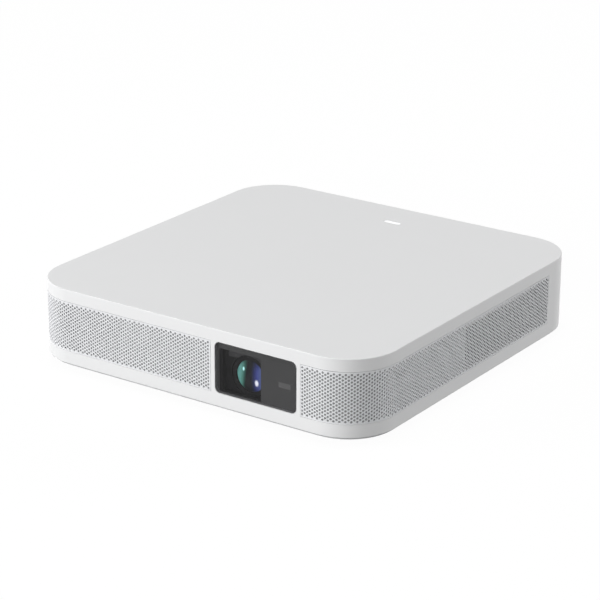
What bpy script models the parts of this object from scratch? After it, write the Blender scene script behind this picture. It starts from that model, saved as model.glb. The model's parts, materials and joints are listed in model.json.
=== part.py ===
# Portable projector, in metres: +X right, +Y to the back, +Z up, origin under the middle at the feet.
import math

import bmesh
import bpy

# Body and the way its pieces meet
body_width = 0.200
body_depth = 0.2016
body_height = 0.040
corner_radius = 0.0258
foot_height = 0.003
shell_wall = 0.002
shell_top = 0.002
gap = 0.0003
overrun = 0.002

# Bottom cover, with a step that the side walls overhang
cover_inset = 0.0015
cover_drop = 0.0012
cover_thickness = 0.002

# Lens window in the front wall, and the tunnel behind its clear area
window_left_share = 0.083
window_width_share = 0.2305
window_height = 0.0252
window_low = 0.0083
window_corner = 0.0025
window_thickness = 0.0015
tunnel_left_share = 0.0672
tunnel_width_share = 0.4946
tunnel_low = 0.0013
tunnel_height = 0.0207
tunnel_depth = 0.0041
bezel_margin = 0.0034
bezel_back = 0.001
bezel_corner = 0.003

# Perforated grilles, flush in shallow pockets of the walls
grille_low = 0.0078
grille_height = 0.0259
grille_thickness = 0.0009
grille_rear_inset = 0.0323
left_strip = 0.0026
right_strip = 0.0024
vent_speaker_distance = 0.024
vent_rear_margin = 0.0025
vent_low = 0.009
vent_height = 0.0215

# Feet, cover screws and their bosses, tripod insert
foot_radius = 0.007
foot_recess = 0.0008
foot_chamfer = 0.0006
screw_inset = 0.0142
screw_head_radius = 0.0026
screw_head_height = 0.0014
screw_shaft_radius = 0.0013
screw_shaft_length = 0.011
screw_drive_width = 0.0007
screw_drive_depth = 0.0007
screw_sink = 0.0004
boss_wall = 0.0022
pilot_depth = 0.003
tripod_thread_radius = 0.003175
tripod_insert_wall = 0.002325
tripod_insert_height = 0.008
tripod_thread_depth = 0.0068
tripod_boss_wall = 0.0022
tripod_engine_distance = 0.001

# Status light in the top, and its board under the top
light_length = 0.0098
light_width = 0.0022
light_rear_inset = 0.0228
light_flange = 0.0015
light_flange_thickness = 0.0008
light_board_length = 0.016
light_board_width = 0.008
light_board_thickness = 0.001

# Projection lens
lens_share = 0.3666
lens_height = 0.0185
cell_radius = 0.0100
cell_bore = 0.0086
cell_length = 0.0242
cell_setback = 0.0005
cell_lip = 0.0006
cell_lip_length = 0.0008
cell_ledge = 0.0012
barrel_wall = 0.0012
barrel_collar = 0.0012
barrel_collar_setback = 0.003
barrel_flange_radius = 0.0130
barrel_flange_length = 0.003
front_lens_thickness = 0.0056
front_lens_bulge = 0.0022
rear_lens_thickness = 0.004
rear_lens_bulge = 0.0010
rear_lens_setback = 0.0172

# Focus drive: a geared ring turns, its three slots push the cell's pins along the barrel's slots
gear_module = 0.0006
gear_width = 0.004
gear_backlash = 0.00016
addendum_share = 0.8
dedendum_share = 1.25
pressure_angle = math.radians(20)
ring_teeth = 46
pinion_teeth = 12
ring_wall = 0.001
ring_length = 0.020
focus_turn = math.radians(80)
focus_travel = 0.0024
pin_radius = 0.001
pin_count = 3
pin_setback = 0.0182
pin_turn = math.radians(90)
motor_radius = 0.004
motor_length = 0.0155
motor_nose_radius = 0.002
motor_nose_length = 0.001
motor_shaft_radius = 0.00075
motor_shaft_seat = 0.0006

# Optical engine
engine_setback = 0.0388
engine_length = 0.060
engine_width = 0.049
engine_height = 0.031
engine_wall = 0.002
engine_lid_thickness = 0.0015
prism_width = 0.017
prism_length = 0.017
prism_height = 0.017
prism_setback = 0.0045
prism_chamfer = 0.0035
relay_radius = 0.009
relay_edge = 0.002
relay_bulge = 0.0015
relay_setback = 0.0285
filter_width = 0.015
filter_height = 0.018
filter_thickness = 0.0011
red_setback = 0.038
blue_setback = 0.051
pedestal_width = 0.012
module_width = 0.0118
module_height = 0.016
module_thickness = 0.002
collimator_radius = 0.0052
collimator_length = 0.0032
mirror_board_length = 0.024
mirror_board_height = 0.020
mirror_board_thickness = 0.0016
mirror_chip_length = 0.012
mirror_chip_height = 0.009
mirror_chip_depth = 0.002

# Cooling
spreader_thickness = 0.003
spreader_height = 0.020
side_spreader_length = 0.027
rear_spreader_length = 0.027
pipe_radius = 0.0025
pipe_rise = 0.006
side_pipe_start = 0.001
pipe_speaker_distance = 0.003
pipe_bend = 0.007
fin_count = 12
fin_thickness = 0.0008
fin_base = 0.0025
stack_width = 0.020
stack_length = 0.047
stack_height = 0.031
stack_corner_distance = 0.013
blower_setback = 0.0062
blower_height = 0.022
blower_wall = 0.0012
blower_floor = 0.0015
blower_lid = 0.0012
scroll_end_share = 0.1438
scroll_start_share = 0.786
scroll_start = math.radians(40)
scroll_end = math.radians(270)
scroll_flare = 0.0045
blower_inlet_share = 0.483
impeller_share = 0.672
impeller_hub_radius = 0.009
impeller_blades = 17
impeller_blade_thickness = 0.0011
impeller_sweep = math.radians(34)
impeller_clearance = 0.001
hub_pocket_radius = 0.0065
hub_roof = 0.0015

# Mainboard, its posts, and the ports on its rear edge
board_side_inset = 0.028
board_engine_distance = 0.006
board_tripod_distance = 0.012
board_rear_inset = 0.0088
board_thickness = 0.0016
post_height = 0.0077
post_radius = 0.003
post_inset = 0.004
post_rear_inset = 0.016
board_pin_radius = 0.001
board_pin_height = 0.0008
cooler_left_share = 0.2133
cooler_front = 0.030
cooler_width_share = 0.4667
cooler_length = 0.034
cooler_base = 0.003
cooler_height = 0.011
cooler_fins = 9
chip_height = 0.0013
chip_side_share = 0.55
panel_board_inset = 0.002
panel_width = 0.068
panel_low = 0.008
panel_height = 0.018
panel_corner = 0.0025
panel_recess = 0.0004
panel_flange = 0.002
panel_flange_thickness = 0.0015
port_reach = 0.0012
button_offset = 0.0065
button_radius = 0.004
button_travel = 0.0008
button_length = 0.0052
button_stem_radius = 0.0018
switch_side = 0.006
switch_depth = 0.0035
power_jack_offset = 0.018
power_jack_width = 0.009
power_jack_height = 0.011
power_jack_depth = 0.014
power_bore_radius = 0.00275
power_pin_radius = 0.001
power_bore_depth = 0.009
video_offset = 0.0325
video_width = 0.015
video_height = 0.0062
video_depth = 0.012
data_offset = 0.0495
data_width = 0.0144
data_height = 0.0070
data_depth = 0.014
port_metal = 0.0006
video_tongue = 0.0010
data_tongue = 0.0018
sound_offset = 0.0620
sound_side = 0.0066
sound_depth = 0.012
sound_bore_radius = 0.00175
sound_bore_depth = 0.009

# Antenna inside the rear wall, and the autofocus sensor behind the window
antenna_width = 0.030
antenna_height = 0.012
antenna_low = 0.012
antenna_thickness = 0.001
sensor_left_share = 0.7766
sensor_low = 0.0107
sensor_width = 0.0073
sensor_height = 0.0038
sensor_body_margin = 0.002
sensor_body_depth = 0.004

# Speakers at both front corners' side walls
speaker_setback = 0.0228
speaker_length = 0.042
speaker_depth = 0.0184
speaker_height = 0.030
speaker_standoff = 0.003
speaker_wall = 0.0016
driver_radius = 0.0150
driver_flange = 0.0026
driver_flange_thickness = 0.0012
driver_basket_depth = 0.0085
driver_magnet_radius = 0.0095
driver_magnet_depth = 0.004
driver_floor = 0.0035
cone_clearance = 0.0005
cone_thickness = 0.0006
cone_drop = 0.003
cone_cap_radius = 0.004
sound_opening_margin = 0.004

# Smoothness of round pieces
corner_steps = 10
fine_steps = 32
round_steps = 20
small_steps = 12
slot_steps = 8
arc_steps = 4
dome_steps = 3
crease = math.radians(32)
merge = 0.00001

# Colours with their roughness and metallic value
finishes = {
    "shell white": ((0.83, 0.83, 0.82), 0.50, 0.0),
    "cover grey": ((0.62, 0.62, 0.62), 0.60, 0.0),
    "grille grey": ((0.70, 0.70, 0.71), 0.55, 0.0),
    "window black": ((0.05, 0.05, 0.055), 0.08, 0.0),
    "dark plastic": ((0.03, 0.03, 0.032), 0.45, 0.0),
    "light white": ((0.95, 0.95, 0.95), 0.30, 0.0),
    "rubber grey": ((0.12, 0.12, 0.12), 0.85, 0.0),
    "brass": ((0.72, 0.55, 0.28), 0.35, 1.0),
    "steel": ((0.60, 0.60, 0.62), 0.32, 1.0),
    "copper": ((0.80, 0.45, 0.30), 0.30, 1.0),
    "aluminium": ((0.75, 0.76, 0.78), 0.38, 1.0),
    "engine black": ((0.045, 0.045, 0.05), 0.50, 0.6),
    "glass": ((0.80, 0.86, 0.90), 0.02, 0.0),
    "board green": ((0.02, 0.16, 0.07), 0.45, 0.0),
    "nylon": ((0.78, 0.77, 0.72), 0.50, 0.0),
    "cone paper": ((0.10, 0.10, 0.11), 0.80, 0.0),
}

# Places that follow from the sizes
body_bottom = foot_height
body_top = body_bottom + body_height
shell_bottom = body_bottom + cover_drop
floor_z = body_bottom + cover_thickness
ceiling_z = body_top - shell_top
front_y = -body_depth / 2
rear_y = body_depth / 2
inner_front = front_y + shell_wall
inner_rear = rear_y - shell_wall
inner_side = body_width / 2 - shell_wall
pocket_depth = grille_thickness + gap
window_left = window_left_share * body_width
window_width = window_width_share * body_width
window_right = window_left + window_width
window_z = body_bottom + window_low
lens_x = window_left + lens_share * window_width
lens_z = body_bottom + lens_height
tunnel_left = window_left + tunnel_left_share * window_width
tunnel_width = tunnel_width_share * window_width
sensor_left = window_left + sensor_left_share * window_width
tunnel_y = front_y + tunnel_depth
bezel_rear = tunnel_y + bezel_back
cell_front = tunnel_y + cell_setback
barrel_bore = cell_radius + gap
barrel_radius = barrel_bore + barrel_wall
ring_bore = barrel_radius + gap
ring_radius = ring_bore + ring_wall
barrel_front = bezel_rear + gap
collar_front = barrel_front + barrel_collar_setback
ring_front = collar_front + barrel_collar + gap
ring_rear = ring_front + ring_length
engine_front = front_y + engine_setback
engine_rear = engine_front + engine_length
engine_left = lens_x - engine_width / 2
engine_right = lens_x + engine_width / 2
engine_floor = floor_z + gap
mirror_y = engine_front + prism_setback + prism_length / 2
relay_y = engine_front + relay_setback
pin_y = cell_front + pin_setback
ring_pitch_radius = gear_module * ring_teeth / 2
pinion_pitch_radius = gear_module * pinion_teeth / 2
pinion_x = lens_x - ring_pitch_radius - pinion_pitch_radius
grille_rear = rear_y - grille_rear_inset
speaker_front = front_y + speaker_setback
speaker_rear = speaker_front + speaker_length
vent_front = speaker_rear + vent_speaker_distance
vent_rear = grille_rear - vent_rear_margin
tripod_radius = tripod_thread_radius + tripod_insert_wall
tripod_boss_radius = tripod_radius + gap + tripod_boss_wall
tripod_x = engine_left - tripod_engine_distance - tripod_boss_radius
stack_x = inner_side - speaker_standoff - stack_width / 2
stack_left = stack_x - stack_width / 2
stack_rear = rear_y - corner_radius - stack_corner_distance
scroll_end_radius = scroll_end_share * body_depth
scroll_start_radius = scroll_start_share * scroll_end_radius
impeller_radius = impeller_share * scroll_end_radius
blower_inlet_radius = blower_inlet_share * scroll_end_radius
blower_x = stack_left - gap - scroll_end_radius
blower_y = engine_rear + blower_setback + 2 * pipe_radius + scroll_end_radius + spreader_thickness
board_left = board_side_inset - body_width / 2
board_width = engine_left - board_engine_distance - board_left
board_front = -tripod_boss_radius - board_tripod_distance
board_rear = rear_y - board_rear_inset
board_bottom = floor_z + post_height + gap
board_top = board_bottom + board_thickness
port_z = board_top + gap
panel_left = board_left + panel_board_inset
panel_outer = rear_y - panel_recess
port_face = panel_outer - port_reach
panel_centre_z = body_bottom + panel_low + panel_height / 2

# Turns that lay a piece's own axis or outline along the body's axes
upright = (0, 0, 0)
outline_facing_y = (math.pi / 2, 0, 0)
outline_facing_x = (math.pi / 2, 0, math.pi / 2)
axis_along_y = (-math.pi / 2, 0, 0)
axis_against_y = (math.pi / 2, 0, 0)
axis_along_x = (0, math.pi / 2, 0)
axis_against_x = (0, -math.pi / 2, 0)
axis_down = (math.pi, 0, 0)


def empty_scene():
    for old in list(bpy.data.objects):
        bpy.data.objects.remove(old, do_unlink=True)


def new_collection(name):
    group = bpy.data.collections.new(name)
    bpy.context.scene.collection.children.link(group)
    return group


def loose_object(name, mesh, place, turn):
    obj = bpy.data.objects.new(name, mesh)
    obj.location = place
    obj.rotation_euler = turn
    return obj


def make_part(obj, finish):
    colour, roughness, metallic = finishes[finish]
    look = bpy.data.materials.new(obj.name)
    look.use_nodes = True
    shader = look.node_tree.nodes["Principled BSDF"]
    shader.inputs["Base Color"].default_value = (*colour, 1)
    shader.inputs["Roughness"].default_value = roughness
    shader.inputs["Metallic"].default_value = metallic
    look.diffuse_color = (*colour, 1)
    obj.data.materials.append(look)
    part_group.objects.link(obj)
    return obj


def boolean(target, tool, operation):
    tool.hide_render = True
    tool.display_type = 'WIRE'
    cutter_group.objects.link(tool)
    step = target.modifiers.new(tool.name, 'BOOLEAN')
    step.operation = operation
    step.solver = 'EXACT'
    step.object = tool


def cut(target, *tools):
    for tool in tools:
        boolean(target, tool, 'DIFFERENCE')


def join(target, *tools):
    for tool in tools:
        boolean(target, tool, 'UNION')


def smooth(mesh):
    mesh.shade_smooth()
    mesh.set_sharp_from_angle(angle=crease)


def block(name, low, high):
    shape = bmesh.new()
    bmesh.ops.create_cube(shape, size=1)
    size = [b - a for a, b in zip(low, high)]
    bmesh.ops.scale(shape, vec=size, verts=shape.verts)
    mesh = bpy.data.meshes.new(name)
    shape.to_mesh(mesh)
    shape.free()
    return loose_object(name, mesh, [(a + b) / 2 for a, b in zip(low, high)], upright)


def rod(name, radius, base, length, turn=upright, steps=round_steps):
    shape = bmesh.new()
    bmesh.ops.create_cone(shape, cap_ends=True, segments=steps, radius1=radius, radius2=radius, depth=length)
    bmesh.ops.translate(shape, vec=(0, 0, length / 2), verts=shape.verts)
    mesh = bpy.data.meshes.new(name)
    shape.to_mesh(mesh)
    shape.free()
    smooth(mesh)
    return loose_object(name, mesh, base, turn)


def plate(name, loops, place, turn, thickness):
    # A flat outline, with any holes as further loops, thickened evenly about its plane
    curve = bpy.data.curves.new(name, 'CURVE')
    curve.dimensions = '2D'
    curve.fill_mode = 'BOTH'
    curve.extrude = thickness / 2
    for loop in loops:
        spline = curve.splines.new('POLY')
        spline.points.add(len(loop) - 1)
        for point, (u, v) in zip(spline.points, loop):
            point.co = (u, v, 0, 1)
        spline.use_cyclic_u = True
    return curve_to_mesh(name, curve, place, turn)


def pipe(name, points, radius):
    curve = bpy.data.curves.new(name, 'CURVE')
    curve.dimensions = '3D'
    curve.bevel_depth = radius
    curve.bevel_resolution = 2
    curve.use_fill_caps = True
    spline = curve.splines.new('POLY')
    spline.points.add(len(points) - 1)
    for point, place in zip(spline.points, points):
        point.co = (*place, 1)
    return curve_to_mesh(name, curve, (0, 0, 0), upright)


def curve_to_mesh(name, curve, place, turn):
    guide = loose_object(name + " curve", curve, place, turn)
    bpy.context.scene.collection.objects.link(guide)
    bpy.context.view_layer.update()
    ready = guide.evaluated_get(bpy.context.evaluated_depsgraph_get())
    mesh = bpy.data.meshes.new_from_object(ready)
    shape = bmesh.new()
    shape.from_mesh(mesh)
    bmesh.ops.remove_doubles(shape, verts=shape.verts, dist=merge)
    bmesh.ops.recalc_face_normals(shape, faces=shape.faces)
    shape.to_mesh(mesh)
    shape.free()
    smooth(mesh)
    obj = bpy.data.objects.new(name, mesh)
    obj.matrix_world = guide.matrix_world.copy()
    bpy.data.objects.remove(guide, do_unlink=True)
    return obj


def turned(name, profile, place, turn=upright, closed=False, steps=round_steps):
    # A profile of (radius, height) points, running down its outer side, spun about its own Z
    mesh = bpy.data.meshes.new(name)
    count = len(profile)
    edges = [(i, i + 1) for i in range(count - 1)]
    if closed:
        edges.append((count - 1, 0))
    mesh.from_pydata([(r, 0, z) for r, z in profile], edges, [])
    obj = loose_object(name, mesh, place, turn)
    spin = obj.modifiers.new("Spin", 'SCREW')
    spin.axis = 'Z'
    spin.steps = steps
    spin.render_steps = steps
    spin.use_merge_vertices = True
    spin.merge_threshold = merge
    spin.use_smooth_shade = True
    return obj


def tube_profile(outer, inner, low, high):
    return [(inner, high), (outer, high), (outer, low), (inner, low)]


def arc(centre_u, centre_v, radius, start, end, steps):
    turn = [start + (end - start) * i / steps for i in range(steps + 1)]
    return [(centre_u + radius * math.cos(a), centre_v + radius * math.sin(a)) for a in turn]


def rounded(left, low, right, high, radius, steps=arc_steps):
    quarter = math.pi / 2
    corners = [(right, high), (left, high), (left, low), (right, low)]
    inward = [(-1, -1), (1, -1), (1, 1), (-1, 1)]
    loop = []
    for i, ((u, v), (du, dv)) in enumerate(zip(corners, inward)):
        loop += arc(u + du * radius, v + dv * radius, radius, i * quarter, (i + 1) * quarter, steps)
    return loop


def body_outline(inset):
    half_width = body_width / 2 - inset
    half_depth = body_depth / 2 - inset
    return rounded(-half_width, -half_depth, half_width, half_depth, corner_radius - inset, corner_steps)


def wall_path(side, inset, front_end, rear_end):
    # From the front wall round one corner and along that side wall, at one inset all the way
    centre_x = side * (body_width / 2 - corner_radius)
    centre_y = front_y + corner_radius
    turn = side * math.pi / 2
    corner = arc(centre_x, centre_y, corner_radius - inset, -math.pi / 2, -math.pi / 2 + turn, corner_steps)
    return [(front_end, front_y + inset)] + corner + [(side * (body_width / 2 - inset), rear_end)]


def wall_band(side, outer, inner, front_end, rear_end):
    inside = wall_path(side, inner, front_end, rear_end)
    return wall_path(side, outer, front_end, rear_end) + inside[::-1]


def level(name, loops, low, high):
    return plate(name, loops, (0, 0, (low + high) / 2), upright, high - low)


def facing_y(name, loops, near, far):
    return plate(name, loops, (0, (near + far) / 2, 0), outline_facing_y, far - near)


def facing_x(name, loops, near, far):
    return plate(name, loops, ((near + far) / 2, 0, 0), outline_facing_x, far - near)


def screw_places():
    x = body_width / 2 - screw_inset
    y = body_depth / 2 - screw_inset
    return {"front_left": (-x, -y), "front_right": (x, -y), "rear_left": (-x, y), "rear_right": (x, y)}


def foot_places():
    x = body_width / 2 - corner_radius
    y = body_depth / 2 - corner_radius
    return {"front_left": (-x, -y), "front_right": (x, -y), "rear_left": (-x, y), "rear_right": (x, y)}


def post_places():
    left = board_left + post_inset
    right = board_left + board_width - post_inset
    front = board_front + post_inset
    rear = board_rear - post_rear_inset
    return {"front_left": (left, front), "front_right": (right, front),
            "rear_left": (left, rear), "rear_right": (right, rear)}


# Cover screws: the head sits in a counterbore of the cover's boss, the shaft in the shell's boss
screw_head_low = body_bottom + screw_sink
screw_ledge = screw_head_low + screw_head_height + gap
screw_shaft_hole = screw_shaft_radius + gap
screw_head_hole = screw_head_radius + gap
cover_boss_radius = screw_head_hole + boss_wall
cover_boss_top = screw_ledge + boss_wall
shell_boss_radius = screw_shaft_hole + boss_wall
shell_boss_bottom = cover_boss_top + gap


def grille_ends(side):
    return window_right + right_strip if side > 0 else window_left - left_strip


def speaker_middle():
    return (speaker_front + speaker_rear) / 2, floor_z + gap + speaker_height / 2


def upper_shell():
    shell = make_part(level("upper_shell", [body_outline(0)], shell_bottom, body_top), "shell white")
    cut(shell, level("shell_hollow", [body_outline(shell_wall)], shell_bottom - overrun, ceiling_z))
    for corner, (x, y) in screw_places().items():
        boss_height = ceiling_z + shell_top / 2 - shell_boss_bottom
        join(shell, rod("shell_boss_" + corner, shell_boss_radius, (x, y, shell_boss_bottom), boss_height,
                        steps=small_steps))
    for corner, (x, y) in screw_places().items():
        pilot_length = screw_shaft_length + pilot_depth
        cut(shell, rod("pilot_" + corner, screw_shaft_hole, (x, y, screw_ledge), pilot_length,
                       steps=small_steps))
    low = body_bottom + grille_low
    for side, name in ((-1, "left"), (1, "right")):
        band = wall_band(side, -overrun, pocket_depth, grille_ends(side), grille_rear + gap)
        cut(shell, level(name + "_pocket", [band], low, low + grille_height))
        cut(shell, wall_opening(name + "_vent", side, vent_front, vent_rear - vent_front))
        sound_front = speaker_front + sound_opening_margin
        sound_length = speaker_length - 2 * sound_opening_margin
        cut(shell, wall_opening(name + "_sound_opening", side, sound_front, sound_length))
    window = rounded(window_left - gap, window_z - gap, window_right + gap, window_z + window_height + gap,
                     window_corner + gap)
    cut(shell, facing_y("window_opening", [window], front_y - overrun, inner_front + overrun))
    panel = panel_loop(gap)
    cut(shell, facing_y("panel_opening", [panel], inner_rear - overrun, rear_y + overrun))
    slot = light_loop(gap)
    cut(shell, level("light_slot", [slot], ceiling_z - overrun, body_top + overrun))


def wall_opening(name, side, front, length):
    # Through a side wall behind its grille
    near, far = sorted((side * (inner_side - overrun), side * (body_width / 2 + overrun)))
    low = body_bottom + vent_low
    return block(name, (near, front, low), (far, front + length, low + vent_height))


def panel_loop(margin):
    low = body_bottom + panel_low
    return rounded(panel_left - margin, low - margin, panel_left + panel_width + margin,
                   low + panel_height + margin, panel_corner + margin)


def light_loop(margin):
    half_length = light_length / 2 + margin
    half_width = light_width / 2 + margin
    y = rear_y - light_rear_inset
    return rounded(-half_length, y - half_width, half_length, y + half_width, half_width - merge)


def bottom_cover():
    rim = level("bottom_cover", [body_outline(cover_inset)], body_bottom, shell_bottom - gap)
    cover = make_part(rim, "cover grey")
    middle = body_bottom + cover_drop / 2
    join(cover, level("cover_plate", [body_outline(shell_wall + gap)], middle, floor_z))
    for corner, (x, y) in screw_places().items():
        join(cover, rod("cover_boss_" + corner, cover_boss_radius, (x, y, middle), cover_boss_top - middle,
                        steps=small_steps))
        cut(cover, rod("screw_sink_" + corner, screw_head_hole, (x, y, body_bottom - overrun),
                       screw_ledge - body_bottom + overrun, steps=small_steps))
        cut(cover, rod("screw_hole_" + corner, screw_shaft_hole, (x, y, screw_ledge - overrun / 2),
                       cover_boss_top - screw_ledge + overrun, steps=small_steps))
    for corner, (x, y) in foot_places().items():
        cut(cover, rod("foot_recess_" + corner, foot_radius + gap, (x, y, body_bottom - overrun),
                       foot_recess + overrun))
    for corner, (x, y) in post_places().items():
        join(cover, rod("post_" + corner, post_radius, (x, y, middle), floor_z + post_height - middle,
                        steps=small_steps))
        pin_length = board_top + board_pin_height - floor_z
        join(cover, rod("pin_" + corner, board_pin_radius, (x, y, floor_z), pin_length, steps=small_steps))
    insert_top = body_bottom + tripod_insert_height
    join(cover, rod("tripod_boss", tripod_boss_radius, (tripod_x, 0, middle), insert_top - middle))
    cut(cover, rod("tripod_bore", tripod_radius + gap, (tripod_x, 0, body_bottom - overrun),
                   tripod_insert_height + 2 * overrun))


def grille(side, name):
    front_end = grille_ends(side) + side * gap
    band = wall_band(side, 0, grille_thickness, front_end, grille_rear)
    low = body_bottom + grille_low
    make_part(level(name, [band], low + gap, low + grille_height - gap), "grille grey")


def lens_window():
    loop = rounded(window_left, window_z, window_right, window_z + window_height, window_corner)
    make_part(facing_y("lens_window", [loop], front_y, front_y + window_thickness), "window black")


def window_bezel():
    margin = bezel_margin
    frame = rounded(window_left - margin, window_z - margin, window_right + margin,
                    window_z + window_height + margin, bezel_corner)
    bezel = make_part(facing_y("window_bezel", [frame], inner_front + gap, bezel_rear), "dark plastic")
    pad = rounded(window_left, window_z, window_right, window_z + window_height, window_corner)
    join(bezel, facing_y("bezel_pad", [pad], front_y + window_thickness + gap, tunnel_y))
    low = window_z + tunnel_low
    cut(bezel, block("tunnel", (tunnel_left, front_y, low),
                     (tunnel_left + tunnel_width, tunnel_y, low + tunnel_height)))
    cut(bezel, rod("lens_hole", cell_radius + gap, (lens_x, tunnel_y - gap, lens_z),
                   bezel_back + overrun, axis_along_y, fine_steps))
    low = window_z + sensor_low
    cut(bezel, block("sensor_hole", (sensor_left, front_y, low),
                     (sensor_left + sensor_width, bezel_rear + overrun, low + sensor_height)))


def autofocus_sensor():
    margin = sensor_body_margin
    left = sensor_left
    low = window_z + sensor_low
    near = bezel_rear + gap
    sensor = make_part(block("autofocus_sensor", (left - margin, near, low - margin),
                             (left + sensor_width + margin, near + sensor_body_depth,
                              low + sensor_height + margin)), "dark plastic")
    join(sensor, block("sensor_face", (left + gap, tunnel_y, low + gap),
                       (left + sensor_width - gap, near + sensor_body_depth / 2, low + sensor_height - gap)))


def status_light():
    light = make_part(level("status_light", [light_loop(0)], ceiling_z - gap - light_flange_thickness / 2,
                            body_top), "light white")
    top = ceiling_z - gap
    join(light, level("light_flange", [light_loop(light_flange)], top - light_flange_thickness, top))
    top -= light_flange_thickness + gap
    y = rear_y - light_rear_inset
    make_part(block("status_light_board", (-light_board_length / 2, y - light_board_width / 2,
                                           top - light_board_thickness),
                    (light_board_length / 2, y + light_board_width / 2, top)), "board green")


def feet():
    top = body_bottom + foot_recess - gap
    chamfer = foot_chamfer
    profile = [(0, top), (foot_radius, top), (foot_radius, chamfer), (foot_radius - chamfer, 0), (0, 0)]
    for corner, (x, y) in foot_places().items():
        make_part(turned("foot_" + corner, profile, (x, y, 0)), "rubber grey")


def cover_screws():
    # Each stands upside down, with a cross cut into its head
    profile = [(0, screw_head_height), (screw_head_radius, screw_head_height), (screw_head_radius, 0),
               (screw_shaft_radius, 0), (screw_shaft_radius, -screw_shaft_length), (0, -screw_shaft_length)]
    reach = screw_head_radius / 2
    half = screw_drive_width / 2
    for corner, (x, y) in screw_places().items():
        name = "cover_screw_" + corner
        seat = (x, y, screw_head_low + screw_head_height)
        screw = make_part(turned(name, profile, seat, axis_down, steps=small_steps), "steel")
        for tool, half_x, half_y in (("_drive_x", reach, half), ("_drive_y", half, reach)):
            cut(screw, block(name + tool, (x - half_x, y - half_y, screw_head_low - overrun),
                             (x + half_x, y + half_y, screw_head_low + screw_drive_depth)))


def tripod_insert():
    insert = rod("tripod_insert", tripod_radius, (tripod_x, 0, body_bottom), tripod_insert_height)
    make_part(insert, "brass")
    cut(insert, rod("tripod_thread", tripod_thread_radius, (tripod_x, 0, body_bottom - overrun),
                    tripod_thread_depth + overrun))


def lens_arc(radius, bulge, height, steps):
    # From the axis to the rim of a dome whose top is at this height
    ball = (radius ** 2 + bulge ** 2) / (2 * bulge)
    end = math.asin(radius / ball)
    turn = [end * i / steps for i in range(steps + 1)]
    return [(ball * math.sin(a), height - ball + ball * math.cos(a)) for a in turn]


def lens_profile(radius, thickness, top_bulge, bottom_bulge):
    top = lens_arc(radius, top_bulge, thickness, dome_steps)
    bottom = [(r, -z) for r, z in lens_arc(radius, bottom_bulge, 0, dome_steps)]
    return top + bottom[::-1]


# Glasses of the sliding cell, each held behind its own ledge with the usual gap
glass_radius = cell_bore - gap
lip_rear = cell_front + cell_lip_length
front_glass_y = lip_rear + gap


def lens_cell():
    ledge_bore = cell_bore - cell_ledge
    ledge = front_glass_y + front_lens_thickness + gap
    second = ledge + cell_lip_length
    rear = cell_front + cell_length
    profile = [(cell_bore - cell_lip, cell_front), (cell_bore - cell_lip, lip_rear), (cell_bore, lip_rear),
               (cell_bore, ledge), (ledge_bore, ledge), (ledge_bore, second), (cell_bore, second),
               (cell_bore, rear), (cell_radius, rear), (cell_radius, cell_front)]
    profile = [(r, y - cell_front) for r, y in profile]
    place = (lens_x, cell_front, lens_z)
    cell = make_part(turned("lens_cell", profile, place, axis_along_y, True, fine_steps), "engine black")
    for i in range(pin_count):
        angle = pin_turn + 2 * math.pi * i / pin_count
        start = cell_radius - (cell_radius - cell_bore) / 2
        base = (lens_x + start * math.cos(angle), pin_y, lens_z + start * math.sin(angle))
        tool = rod("cell_pin_%d" % (i + 1), pin_radius, base, ring_radius - gap - start,
                   (0, math.pi / 2 - angle, 0), small_steps)
        join(cell, tool)
    front = lens_profile(glass_radius, front_lens_thickness, front_lens_bulge, front_lens_bulge / 2)
    place = (lens_x, front_glass_y + front_lens_thickness, lens_z)
    make_part(turned("front_lens", front, place, axis_against_y, steps=fine_steps), "glass")
    rear = lens_profile(glass_radius, rear_lens_thickness, rear_lens_bulge, rear_lens_bulge)
    place = (lens_x, cell_front + rear_lens_setback, lens_z)
    make_part(turned("rear_lens", rear, place, axis_along_y, steps=fine_steps), "glass")


def lens_barrel():
    collar_rear = collar_front + barrel_collar
    shoulder = ring_rear + gap
    flange_front = engine_front - gap - barrel_flange_length
    rear = engine_front - gap
    profile = [(barrel_bore, barrel_front), (barrel_bore, rear), (barrel_flange_radius, rear),
               (barrel_flange_radius, flange_front), (ring_radius, flange_front), (ring_radius, shoulder),
               (barrel_radius, shoulder), (barrel_radius, collar_rear), (ring_radius, collar_rear),
               (ring_radius, collar_front), (barrel_radius, collar_front), (barrel_radius, barrel_front)]
    profile = [(r, y - barrel_front) for r, y in profile]
    place = (lens_x, barrel_front, lens_z)
    barrel = make_part(turned("lens_barrel", profile, place, axis_along_y, True, fine_steps), "engine black")
    half = pin_radius + gap
    for i in range(pin_count):
        angle = pin_turn + 2 * math.pi * i / pin_count
        slot = rounded(pin_y - half, -half, pin_y + focus_travel + half, half, half - merge)
        loop = [(v, u) for u, v in slot]
        middle = barrel_radius
        place = (lens_x + middle * math.cos(angle), 0, lens_z + middle * math.sin(angle))
        cut(barrel, plate("barrel_slot_%d" % (i + 1), [loop], place, (0, math.pi / 2 - angle, 0),
                          2 * (barrel_wall + gap)))


def gear_loop(teeth, offset):
    pitch = gear_module * teeth / 2
    base = pitch * math.cos(pressure_angle)
    tip = pitch + addendum_share * gear_module
    root = pitch - dedendum_share * gear_module
    half_tooth = (math.pi * gear_module - 2 * gear_backlash) / 4 / pitch
    inv = math.tan(pressure_angle) - pressure_angle

    def half_angle(radius):
        slope = math.acos(min(1, base / radius))
        return half_tooth + inv - (math.tan(slope) - slope)

    flank = [root, pitch, tip] if root >= base else [root, base, pitch, tip]
    loop = []
    for tooth in range(teeth):
        middle = offset + 2 * math.pi * tooth / teeth
        for radius in flank:
            angle = middle - half_angle(max(radius, base))
            loop.append((radius * math.cos(angle), radius * math.sin(angle)))
        for radius in reversed(flank):
            angle = middle + half_angle(max(radius, base))
            loop.append((radius * math.cos(angle), radius * math.sin(angle)))
    return loop


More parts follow.
